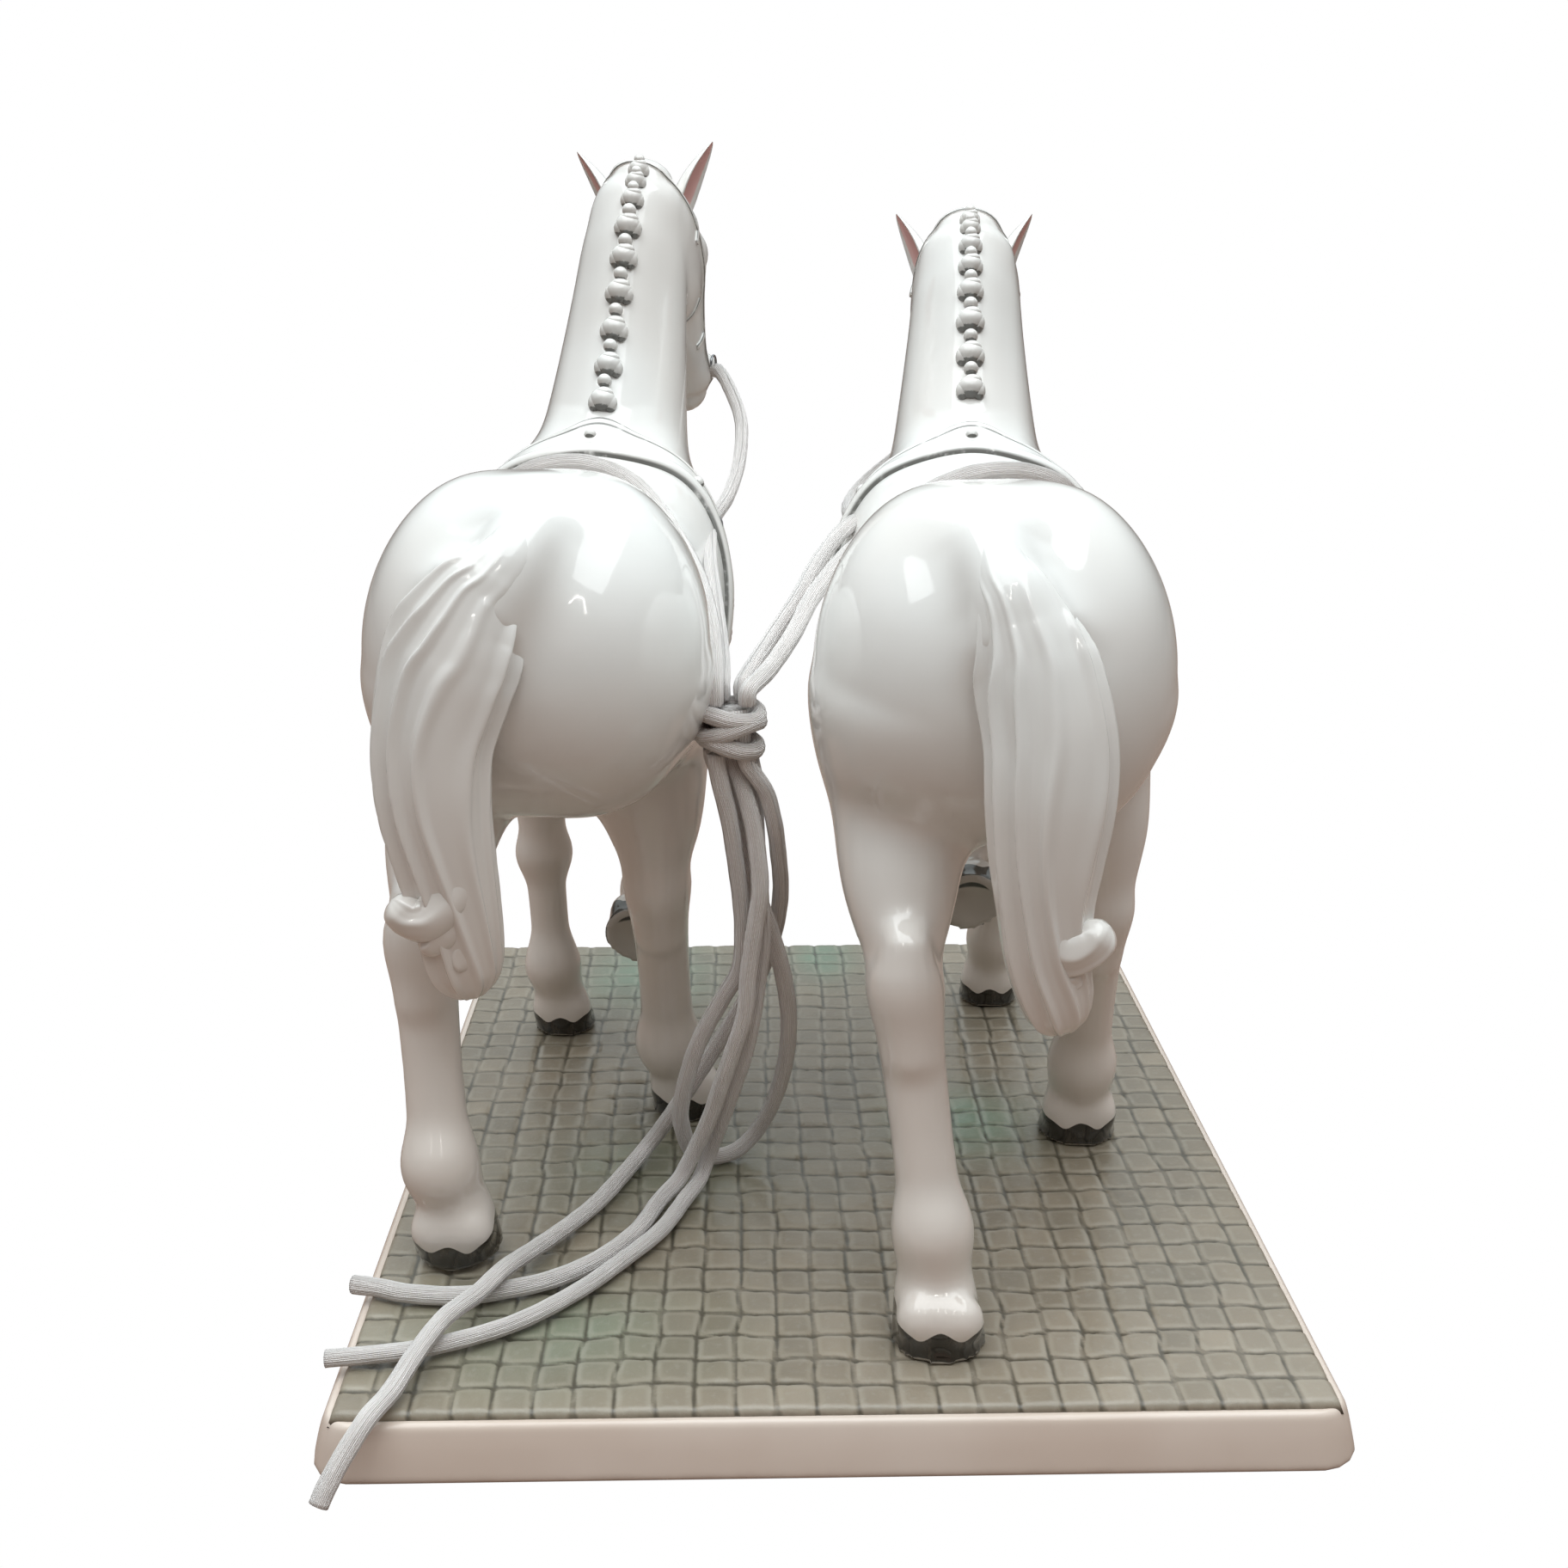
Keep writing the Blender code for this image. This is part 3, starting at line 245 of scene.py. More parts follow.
# Wire rings: the wire's radius, and the radius of each kind of ring, in metres.
WIRE_RADIUS = 0.00045
RING_RADIUS = {"terret": 0.0037, "bit_ring": 0.0032}

STUD_SIZE = (2.0, 2.0, 1.5)
EYE_PLACE = (15.5, 21.5, -21.5)
EYE_SIZE = (2.2, 1.0, 3.0)

# The reins' routes in millimetres from the plinth's middle: from the bit ring to the knot, and on from it.
REINS = {
    "near_outer": {
        "upper": (
            (-59.5, 163.5, 245.5), (-66, 156, 240), (-84, 138, 229), (-98.5, 114, 217), (-106.5, 90, 207.5),
            (-108.3, 66, 203), (-106.5, 55, 207.5), (-99, 46, 217.5), (-87, 40, 224.5), (-72, 36, 226.5),
            (-58, 33, 222), (-48, 25, 213.5), (-41, 8, 206), (-34.6, -16, 198.3), (-31, -34, 188.5),
            (-30, -46, 179.5), (-30.2, -50, 175), (-30.2, -50, 171),
        ),
        "lower": (
            (-25.8, -46.1, 157.2), (-25.3, -46.3, 153.8), (-22.2, -49.3, 146), (-19.5, -52.5, 135),
            (-18, -56.2, 120), (-19.5, -57.5, 108.5), (-21.5, -58, 94), (-22.5, -58, 82.5),
            (-26, -57, 70.5), (-29.5, -55, 59), (-33, -51.5, 46.5), (-38, -48, 33.5), (-42.5, -49, 25),
            (-48, -56, 22), (-54, -73, 22), (-64, -87.5, 22), (-76, -97, 22), (-88, -101.5, 22),
            (-100, -104, 22), (-113.5, -102.5, 22), (-122, -99.6, 22), (-129, -97.4, 21.6),
        ),
    },
    "near_inner": {
        "upper": (
            (-32.5, 157.3, 245.8), (-31, 150, 246), (-27.5, 135, 242), (-23, 118, 231.5), (-23.5, 100, 219.5),
            (-27, 84, 210), (-31.5, 71, 204.5), (-32.9, 61.5, 203), (-33, 50, 200.5), (-32.5, 32, 195.5),
            (-31, 12, 189.5), (-29.2, -12, 182.8), (-28.2, -32, 178), (-28.2, -43.8, 175),
            (-28.2, -44.2, 171.4),
        ),
        "lower": (
            (-20.4, -44.6, 157.2), (-20.3, -44.5, 153.8), (-19, -44.2, 146), (-19, -46.3, 136),
            (-18.6, -48.4, 128), (-17.8, -50.5, 116), (-17.2, -51.9, 104), (-18.4, -52.4, 92),
            (-20.1, -52.8, 79.5), (-22.5, -52, 67.5), (-25.8, -50.2, 56), (-29.5, -47, 43.5),
            (-33.5, -43.5, 30.5), (-36.5, -46.5, 23.5), (-40.8, -56, 22), (-46.8, -72, 22), (-56, -86.5, 22),
            (-67, -101.5, 22), (-80, -114.5, 22), (-92, -122, 22), (-106, -127.5, 22), (-118, -129.8, 22),
            (-129, -130.6, 21.6),
        ),
    },
    "off_inner": {
        "upper": (
            (42.5, 138.3, 222.5), (35, 131, 218), (22, 112, 211), (14.5, 88, 207), (12.5, 64, 206.5),
            (13.7, 42, 207), (12, 31, 208.2), (6.5, 19, 206), (0, 6.5, 200), (-6.5, -7.5, 191.5),
            (-14, -20.5, 183.2), (-19.6, -32.5, 177.4), (-22.6, -43.4, 175), (-22.6, -43.8, 171.4),
        ),
        "lower": (
            (-21.8, -51, 156.9), (-21.2, -51.1, 154), (-16.4, -50.6, 146.5), (-14, -49.4, 137),
            (-12.9, -47, 128), (-12, -42, 114), (-13.4, -36.8, 100.5), (-16.8, -33.8, 87.5),
            (-22.5, -33, 75.5), (-29, -33, 64.5), (-37, -32.5, 51), (-44, -30, 38.5), (-49.5, -26, 28.5),
            (-54.5, -27.5, 22.5), (-59.5, -40, 22), (-66, -56, 22), (-73, -69, 22.3), (-81, -84, 24),
            (-87.5, -99.5, 27.4), (-93, -111, 27.4), (-100, -123, 27.8), (-105.5, -135, 25.3),
            (-109.5, -146, 22.7), (-113.6, -154, 21.2), (-118.3, -160.3, 15.7), (-121.8, -164.6, 10.3),
            (-123.6, -166.9, 6.6),
        ),
    },
    "off_outer": {
        "upper": (
            (71, 136.8, 222.5), (76.5, 130, 218), (86, 110, 210.5), (90, 84, 206), (88, 58, 205.5),
            (85, 37.6, 207), (81, 28, 212), (75, 20.5, 221), (62, 15.5, 226), (47, 11, 226),
            (34, 9, 221.5), (23, 7, 214.5), (15, 4.5, 208.3), (7, -1.5, 202.3), (-2, -12.5, 193.5),
            (-8.2, -24.5, 184.8), (-15.2, -38.5, 178), (-20.8, -50.6, 175.2), (-21.2, -50.8, 171.4),
        ),
        "lower": (
            (-31.2, -44.4, 157.2), (-30.8, -44.3, 154), (-27.9, -43.6, 146), (-25.2, -43.2, 136),
            (-22.8, -42.8, 127.5), (-20, -43.3, 117), (-17, -43.7, 108), (-14, -43.2, 98.5),
            (-11, -40.8, 85.5), (-9.5, -37, 71), (-10.5, -33, 55.5), (-14, -28.5, 40), (-19, -25.5, 28.5),
            (-25.5, -27, 22.4), (-33, -30.5, 22.2), (-38.7, -32.8, 25.5), (-41.3, -35.8, 33),
            (-42, -39.5, 43), (-39.5, -43.9, 57), (-35.5, -46.9, 70), (-29, -48.5, 83), (-24, -49, 92.5),
            (-23, -49.4, 102.5), (-23.3, -50, 113), (-24.8, -50.6, 126.5), (-26.4, -51, 138),
            (-28.4, -51, 147), (-29.8, -50.8, 154), (-29.9, -50.7, 157.2),
        ),
    },
}

# The field's value far from every mass, and each horse's field, kept for what is laid on it.
FAR = 14.0
SKINS = {}


# ------------------------------------------------------------------------ meshes from arrays

def node_middle(node):
    """The middle of a frame node, laid out from the plinth's middle."""
    low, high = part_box(node)
    return np.array((low + high) / 2) + (0, GROUP_MIDDLE, 0)


def unit(vectors):
    """Vectors scaled to length one."""
    vectors = np.asarray(vectors, float)
    return vectors / np.maximum(np.linalg.norm(vectors, axis=-1, keepdims=True), 1e-12)


def add_mesh(name, points, faces, material, uv=None, fields=None, nodes=()):
    """Make a smooth mesh object from points and faces, turned outward, and set it riding on the frame."""
    points = np.asarray(points, float) - (0, GROUP_MIDDLE, 0)
    corners = np.concatenate([np.asarray(face).reshape(-1) for face in faces])
    sizes = np.concatenate([np.full(len(face), face.shape[1]) for face in faces])
    starts = np.concatenate([[0], np.cumsum(sizes)[:-1]])
    first = np.concatenate([face[:, (0, 1, 2)] for face in faces])
    rest = np.concatenate([face[:, (0, 2, 3)] for face in faces if face.shape[1] == 4] or [first[:0]])
    triangles = points[np.concatenate([first, rest])]
    volume = np.einsum("ij,ij->i", triangles[:, 0], np.cross(triangles[:, 1], triangles[:, 2])).sum()
    if volume < 0:
        corners = np.concatenate([np.asarray(face)[:, ::-1].reshape(-1) for face in faces])
    mesh = bpy.data.meshes.new(name)
    mesh.vertices.add(len(points))
    mesh.vertices.foreach_set("co", points.astype(np.float32).ravel())
    mesh.loops.add(len(corners))
    mesh.loops.foreach_set("vertex_index", corners.astype(np.int32))
    mesh.polygons.add(len(sizes))
    mesh.polygons.foreach_set("loop_start", starts.astype(np.int32))
    mesh.polygons.foreach_set("use_smooth", np.ones(len(sizes), bool))
    mesh.update(calc_edges=True)
    for label, values in (fields or {}).items():
        values = np.asarray(values, np.float32)
        kind, key = ("FLOAT_VECTOR", "vector") if values.ndim == 2 else ("FLOAT", "value")
        layer = mesh.attributes.new(label, kind, "POINT")
        layer.data.foreach_set(key, values.ravel())
    if uv is not None:
        layer = mesh.uv_layers.new(name="UVMap")
        layer.data.foreach_set("uv", np.asarray(uv, np.float32)[corners].ravel())
    mesh.validate()
    mesh.materials.append(material)
    item = bpy.data.objects.new(name, mesh)
    bpy.context.scene.collection.objects.link(item)
    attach(item, "root")
    if nodes:
        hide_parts(*nodes)
    return item


def grid_faces(rows, columns, wrap_rows=False, wrap_columns=True, offset=0):
    """Quads between neighbouring rows and columns of a grid of points."""
    r = np.arange(rows if wrap_rows else rows - 1)
    c = np.arange(columns if wrap_columns else columns - 1)
    r, c = (side.ravel() for side in np.meshgrid(r, c, indexing="ij"))
    r2, c2 = (r + 1) % rows, (c + 1) % columns
    return np.stack([r * columns + c, r * columns + c2, r2 * columns + c2, r2 * columns + c], 1) + offset


def capped(grid):
    """Points and faces of a tube of rings closed at both ends with a pole."""
    rows, columns = grid.shape[:2]
    points = np.concatenate([grid.reshape(-1, 3), grid[:1].mean(1), grid[-1:].mean(1)])
    around = np.arange(columns)
    after = (around + 1) % columns
    head = np.stack([np.full(columns, rows * columns), after, around], 1)
    last = (rows - 1) * columns
    tail = np.stack([np.full(columns, rows * columns + 1), last + around, last + after], 1)
    return points, [grid_faces(rows, columns), head, tail]


def joined(bodies):
    """Several (points, faces) bodies as one."""
    points, faces, offset = [], {3: [], 4: []}, 0
    for body_points, body_faces in bodies:
        points.append(body_points)
        for face in body_faces:
            faces[face.shape[1]].append(face + offset)
        offset += len(body_points)
    return np.concatenate(points), [np.concatenate(face) for face in faces.values() if face]


def curve_through(rows, per):
    """Rows of numbers made finer with a Catmull-Rom curve through them, `per` steps between two."""
    rows = np.asarray(rows, float)
    ends = np.concatenate([2 * rows[:1] - rows[1:2], rows, 2 * rows[-1:] - rows[-2:-1]])
    a, b, c, d = (ends[i:len(ends) - 3 + i, None] for i in range(4))
    t = (np.arange(per) / per)[None, :, None]
    bend, twist = 2 * a - 5 * b + 4 * c - d, 3 * b - a - 3 * c + d
    fine = 0.5 * (2 * b + (c - a) * t + bend * t ** 2 + twist * t ** 3)
    return np.concatenate([fine.reshape(-1, rows.shape[1]), rows[-1:]])


def evenly(points, spacing):
    """Points at even distances along a polyline."""
    steps = np.linalg.norm(np.diff(points, axis=0), axis=1)
    reached = np.concatenate([[0], np.cumsum(steps)])
    goals = np.linspace(0, reached[-1], max(int(round(reached[-1] / spacing)), 2) + 1)
    return np.stack([np.interp(goals, reached, points[:, i]) for i in range(points.shape[1])], 1)


def carried_frames(path, start=(0, 0, 1)):
    """Two directions square to a path, carried along it without twist."""
    along = unit(np.gradient(path, axis=0))
    side = np.array(start, float)
    sides = []
    for direction in along:
        side = unit(side - direction * (side @ direction))
        sides.append(side)
    sides = np.array(sides)
    return along, sides, np.cross(along, sides)


# ------------------------------------------------------------------------ soft masses

class Mass:
    """A chain of elliptic rings, joined to or cut from what is there with a soft seam.

    A ring is x, y, z, half width, half depth and how square it stands to the chain: 1 is square, 0 is
    level. Between the planes of two rings everything is shared out in the ratio of the two distances.
    The distance is (k - 1) * k / g, where k is the length of the point's place divided by the ring's
    half axes and g the length of that place divided by them once more. Past the end rings the chain is
    closed by half ellipsoids as long as `caps`, or 0.7 times the end ring's smaller half axis. `flat` is
    a place and an outward direction of a plane that ends the mass.
    """

    def __init__(self, rings, blend=6.0, caps=None, cut=False, flat=None, side=(1, 0, 0)):
        rings = np.array([tuple(ring) + (1.0,) * (6 - len(ring)) for ring in rings], float)
        self.places, self.sizes = rings[:, :3], rings[:, 3:5]
        self.blend, self.cut, self.flat = blend, cut, flat
        self.caps = caps or (0.7 * self.sizes[0].min(), 0.7 * self.sizes[-1].min())
        along = unit(np.gradient(self.places, axis=0))
        follow = rings[:, 5:6]
        self.normals = unit(along * follow + np.array((0, 0, -1.0)) * (1 - follow))
        side = np.array(side, float)
        self.sides = unit(side - self.normals * (self.normals @ side)[:, None])
        self.rises = np.cross(self.normals, self.sides)
        reach = self.sizes.max(1)[:, None] + blend + 4
        self.low = (self.places - reach).min(0)
        self.high = (self.places + reach).max(0)

    def distance(self, points):
        """Distance of points from the chain's skin, negative inside."""
        flat = np.ascontiguousarray(points.reshape(-1, 3), np.float32)
        heights = flat @ self.normals.T.astype(np.float32)
        heights -= (self.places * self.normals).sum(1).astype(np.float32)
        best = np.full(len(flat), FAR * 2, np.float32)
        last = len(self.places) - 2
        for number in range(last + 1):
            before, after = heights[:, number], -heights[:, number + 1]
            first_cap = -60.0 if number == 0 else 0.0
            last_cap = -60.0 if number == last else 0.0
            chosen = np.flatnonzero((before >= first_cap) & (after >= last_cap) & (before + after > 1e-6))
            if not len(chosen):
                continue
            before, after = before[chosen], after[chosen]
            share = np.clip(before / (before + after), 0, 1)[:, None]
            centre = self.places[number] + (self.places[number + 1] - self.places[number]) * share
            side = self.sides[number] + (self.sides[number + 1] - self.sides[number]) * share
            rise = self.rises[number] + (self.rises[number + 1] - self.rises[number]) * share
            size = self.sizes[number] + (self.sizes[number + 1] - self.sizes[number]) * share
            off = flat[chosen] - centre
            place = np.stack([(off * side).sum(1), (off * rise).sum(1)], 1) / size
            past = np.where(before < 0, before / self.caps[0], np.where(after < 0, after / self.caps[1], 0))
            cap = np.where(before < 0, self.caps[0], self.caps[1])
            k = np.sqrt((place ** 2).sum(1) + past ** 2)
            g = np.sqrt(((place / size) ** 2).sum(1) + (past / cap) ** 2)
            best[chosen] = np.minimum(best[chosen], k * (k - 1) / np.maximum(g, 1e-4))
        best = best.reshape(points.shape[:-1])
        if self.flat is not None:
            place, out = self.flat
            best = np.maximum(best, (points - np.array(place, float)) @ np.array(out, float))
        return best

    def join(self, values, distance):
        """Join this mass to the values so far, with a seam as soft as its blend."""
        sign = -1.0 if self.cut else 1.0
        near = sign * values
        share = np.maximum(self.blend - np.abs(near - distance), 0) / self.blend
        return sign * (np.minimum(near, distance) - share * share * self.blend / 4)


def lump(middle, radii, axis=(0, 1, 0), blend=6.0, cut=False):
    """One rounded mass: its middle, its half width, half depth and half length along its axis."""
    step = unit(axis) * 0.05
    wide, deep, length = radii
    rings = [(*(np.array(middle) - step), wide, deep), (*(np.array(middle) + step), wide, deep)]
    mass = Mass(rings, blend, caps=(length, length), cut=cut)
    reach = max(radii) + blend + 4
    mass.low, mass.high = np.array(middle) - reach, np.array(middle) + reach
    return mass


class Form:
    """Several masses as one field, with its skin."""

    def __init__(self, masses):
        self.masses = masses

    def at(self, points):
        """The field at points."""
        values = np.full(points.shape[:-1], FAR, np.float32)
        for mass in self.masses:
            inside = np.all((points > mass.low) & (points < mass.high), axis=-1)
            if inside.any():
                values[inside] = mass.join(values[inside], mass.distance(points[inside]))
        return values

    def slope(self, points, step=0.25):
        """The field's steepest direction at points."""
        moves = np.eye(3) * step
        return np.stack([self.at(points + move) - self.at(points - move) for move in moves], -1) / (2 * step)

    def settle(self, points, rounds=2):
        """Points moved on to the skin along the steepest way."""
        for _ in range(rounds):
            slope = self.slope(points)
            steep = np.maximum((slope ** 2).sum(-1), 0.05)
            move = np.clip(self.at(points) / steep, -1.5, 1.5)
            points = points - slope * move[..., None]
        return points

    def leave(self, start, aim, reach=110.0):
        """Where rays from inside pass out through the skin."""
        gone = np.zeros(np.broadcast_shapes(start.shape, aim.shape)[:-1])
        for _ in range(45):
            value = self.at(start + aim * gone[..., None])
            gone = np.clip(gone - np.clip(value, -12, 1.5) * 0.8, 0, reach)
        return start + aim * gone[..., None]

    def skin(self, pitch):
        """The field's skin as quads: one point in each cell that the skin crosses, then settled."""
        low = np.min([mass.low for mass in self.masses if not mass.cut], 0)
        high = np.max([mass.high for mass in self.masses if not mass.cut], 0)
        count = np.ceil((high - low) / pitch).astype(int) + 1
        axes = [(low[i] + pitch * np.arange(count[i])).astype(np.float32) for i in range(3)]
        values = np.full(count, FAR, np.float32)
        for mass in self.masses:
            first = np.clip(np.floor((mass.low - low) / pitch).astype(int), 0, count)
            last = np.clip(np.ceil((mass.high - low) / pitch).astype(int) + 1, 0, count)
            part = tuple(slice(a, b) for a, b in zip(first, last))
            places = np.stack(np.meshgrid(*(axes[i][part[i]] for i in range(3)), indexing="ij"), -1)
            values[part] = mass.join(values[part], mass.distance(places))
        inside = values < 0
        corners = [(i, j, k) for i in (0, 1) for j in (0, 1) for k in (0, 1)]
        cells = np.array(count) - 1

        def corner(array, place):
            i, j, k = place
            return array[i:i + cells[0], j:j + cells[1], k:k + cells[2]]

        total = sum(corner(inside, place).astype(np.int8) for place in corners)
        crossed = (total > 0) & (total < 8)
        where = np.argwhere(crossed)
        number = np.full(cells, -1, np.int64)
        number[crossed] = np.arange(len(where))
        sums = np.zeros((len(where), 3))
        hits = np.zeros(len(where))
        for place in corners:
            for axis in range(3):
                if place[axis]:
                    continue
                other = list(place)
                other[axis] = 1
                a = corner(values, place)[crossed]
                b = corner(values, tuple(other))[crossed]
                cross = (a < 0) != (b < 0)
                share = np.where(cross, a / np.where(cross, a - b, 1), 0)
                spot = np.array(place, float) + share[:, None] * np.eye(3)[axis]
                sums += spot * cross[:, None]
                hits += cross
        points = low + (where + sums / hits[:, None]) * pitch
        quads = []
        for axis in range(3):
            u, v = (axis + 1) % 3, (axis + 2) % 3
            moved = np.roll(inside, -1, axis)
            flips = np.argwhere(inside != moved)
            flips = flips[(flips[:, axis] < cells[axis]) & (flips[:, u] > 0) & (flips[:, v] > 0)]
            flips = flips[(flips[:, u] < cells[u]) & (flips[:, v] < cells[v])]
            step_u, step_v = np.eye(3, dtype=int)[u], np.eye(3, dtype=int)[v]
            ring = [flips - step_u - step_v, flips - step_v, flips, flips - step_u]
            quad = np.stack([number[tuple(place.T)] for place in ring], 1)
            turned = inside[tuple(flips.T)]
            quads.append(np.where(turned[:, None], quad, quad[:, ::-1]))
        return self.settle(points), [np.concatenate(quads)]


# ------------------------------------------------------------------------ the horses' frames and masses

def to_world(name, points):
    """Points of a horse's own frame in millimetres, as points of the group in metres."""
    turn = -math.radians(STANCES[name]["turn"])
    x, y, z = np.moveaxis(np.asarray(points, float), -1, 0)
    hips = STANCES[name]["hips"]
    return np.stack([
        hips[0] + (x * math.cos(turn) - y * math.sin(turn)) / 1000,
        hips[1] + (x * math.sin(turn) + y * math.cos(turn)) / 1000,
        PAVING_TOP + z / 1000,
    ], -1)


def facing(name, direction):
    """A direction of a horse's own frame, as a direction of the group."""
    return unit(to_world(name, np.multiply(direction, 1000)) - to_world(name, (0, 0, 0)))


def leg_rings(plan, joints):
    """Rings along a leg's joints."""
    order = list(joints)
    rings = []
    for joint, share, wide, deep in plan:
        start = np.array(joints[joint], float)
        end = np.array(joints[order[min(order.index(joint) + 1, len(order) - 1)]], float)
        rings.append([*(start + (end - start) * share), wide, deep, FOLLOW[joint]])
    if joints["sole"][2] < RAISED_SOLE:
        rings[-1][5] = 0.0
        rings[-2][5] = 0.3
    return rings


def foot_frame(joints):
    """A foot's sole, and its directions sideways, to the heel and up from the sole.

    The heel is behind in a standing foot and uppermost in a lifted one.
    """
    sole = np.array(joints["sole"], float)
    lifted = sole[2] > RAISED_SOLE
    flat = sole[2] < FLAT_SOLE
    up = np.array((0, 0, 1.0)) if flat else unit(np.array(joints["coronet"], float) - sole)
    side = unit(np.array((1.0, 0, 0)) - up * up[0])
    heel = np.cross(side, up)
    turned = heel[2] <= 0 if lifted else heel[1] > 0
    return sole, side, -heel if turned else heel, up


def leg_masses(plan, joints):
    """A leg with its joint bumps, tendon line, heel bulbs and flat sole."""
    sole, side, heel, up = foot_frame(joints)
    size = plan[-1][2] / HIND_SOLE_WIDTH
    rings = curve_through(leg_rings(plan, joints), 4)
    rings[:, 5] = np.clip(rings[:, 5], 0, 1)
    masses = [Mass(rings, 14.0, flat=(sole, -up))]
    points = {label: np.array(place, float) for label, place in joints.items()}
    hinge = "hock" if "hock" in joints else "knee"
    below = points["fetlock"] - points[hinge]
    back = unit(np.array((0, -1.0, 0)) - unit(below) * (np.array((0, -1.0, 0)) @ unit(below)))
    if "hock" in joints:
        point = points["hock"] + back * 6.5 + np.array((0, 0, 6.0))
        masses.append(lump(point, (5.0, 5.5, 8), axis=(0, 0.25, 1), blend=7))
        cord_line = [point + (0, 0, 8), point, points["hock"] + below * 0.25 + back * 5.5]
        masses.append(Mass([(*cord_line[0], 4, 4), (*cord_line[1], 4.6, 4.6), (*cord_line[2], 4, 4)], 7))
        calf = points["stifle"] + (points["hock"] - points["stifle"]) * 0.42
        thigh = points["stifle"] - points["hock"]
        masses.append(lump(calf + (0, -4, 0), (12.5, 13, 22), axis=thigh, blend=10))
    else:
        masses.append(lump(points["knee"] - back * 1.5, (8.6, 8.6, 8.5), axis=below, blend=6))
        arm = points["elbow"] + (points["knee"] - points["elbow"]) * 0.25
        masses.append(lump(arm, (11.5, 13.5, 18), axis=points["elbow"] - points["knee"], blend=9))
    masses.append(lump(points["fetlock"] + back * 1.4, (8.6 * size, 9.2 * size, 9), axis=below, blend=8))
    for hand in (-1, 1):
        bulb = sole + side * hand * 4.9 * size + heel * 6.4 * size + up * 9.2 * size
        masses.append(lump(bulb, (6.2 * size, 5.6 * size, 6.6 * size), axis=up, blend=3.5))
    if joints["sole"][2] > RAISED_SOLE:
        hollow = lump(sole - up * 0.4, (8.8 * size, 8.8 * size, 1.7), axis=up, blend=1.0, cut=True)
        masses.append(hollow)
    return masses


def neck_point(poll, share):
    """A point of the neck's axis: a quadratic curve from the chest to the poll."""
    foot, top = np.array(NECK_FOOT, float), np.array(poll, float)
    bend = np.array([0.3 * top[0], foot[1] + 0.70 * (top[1] - foot[1]), foot[2] + 0.41 * (top[2] - foot[2])])
    share = np.asarray(share, float)[..., None]
    return foot * (1 - share) ** 2 + bend * 2 * share * (1 - share) + top * share ** 2


def crest_line(poll, share):
    """The top line of the neck at shares of its length, with its outward and forward directions."""
    share = np.asarray(share, float)
    along = unit(neck_point(poll, share + 0.01) - neck_point(poll, share - 0.01))
    side = unit(np.array((1.0, 0, 0)) - along * along[..., :1])
    back = np.cross(side, along)
    deep = np.interp(share, [ring[0] for ring in NECK], [ring[2] for ring in NECK])
    return neck_point(poll, share) + back * deep[..., None], back, along


def head_turn(pose):
    """The head's turning matrix."""
    turn, lift = -math.radians(pose["face_turn"]), math.radians(pose["face_lift"])
    about_z = np.array([[math.cos(turn), -math.sin(turn), 0], [math.sin(turn), math.cos(turn), 0], [0, 0, 1]])
    about_x = np.array([[1, 0, 0], [0, math.cos(lift), -math.sin(lift)], [0, math.sin(lift), math.cos(lift)]])
    return about_z @ about_x


def in_head(pose, points):
    """Points of the head's frame (right, forward, up from the poll) in the horse's frame."""
    return np.array(pose["poll"], float) + np.asarray(points, float) @ head_turn(pose).T


def head_masses(pose):
    """The head: skull, cheeks, eye sockets, nostrils and lips."""
    turn = head_turn(pose)
    rings = np.array([(0, forward, -down, wide, deep) for forward, down, wide, deep in HEAD], float)
    rings[:, :3] = in_head(pose, rings[:, :3])
    side = turn @ np.array((1.0, 0, 0))
    masses = [Mass(curve_through(rings, 4), 9.0, side=side)]
    forehead = in_head(pose, (0, 13, -17))
    masses.append(lump(forehead, (11, 9, 17), axis=turn @ np.array((0, 0.45, -1.0)), blend=7))
    for hand in (-1, 1):
        cheek = in_head(pose, (hand * 8.5, 6, -27))
        masses.append(lump(cheek, (7, 12, 14), axis=turn @ np.array((0, 0.4, -1.0)), blend=6))
        brow = in_head(pose, (hand * 12.5, 19, -21))
        masses.append(lump(brow, (4.2, 4.4, 6), axis=turn @ np.array((0, 0.4, -1.0)), blend=4))
        nostril = in_head(pose, (hand * 7.5, 40, -68))
        masses.append(lump(nostril, (3.2, 3.6, 4.5), axis=turn @ np.array((0, 0.3, -1.0)), blend=3))
        hole = in_head(pose, (hand * 9.5, 42.5, -67))
        masses.append(lump(hole, (1.5, 1.4, 2.4), axis=turn @ np.array((0, 0.3, -1.0)), blend=1.2, cut=True))
    lip = in_head(pose, (0, 33, -78))
    masses.append(lump(lip, (6.5, 6.5, 4.5), axis=turn @ np.array((0, 0.5, -1.0)), blend=3))
    return masses


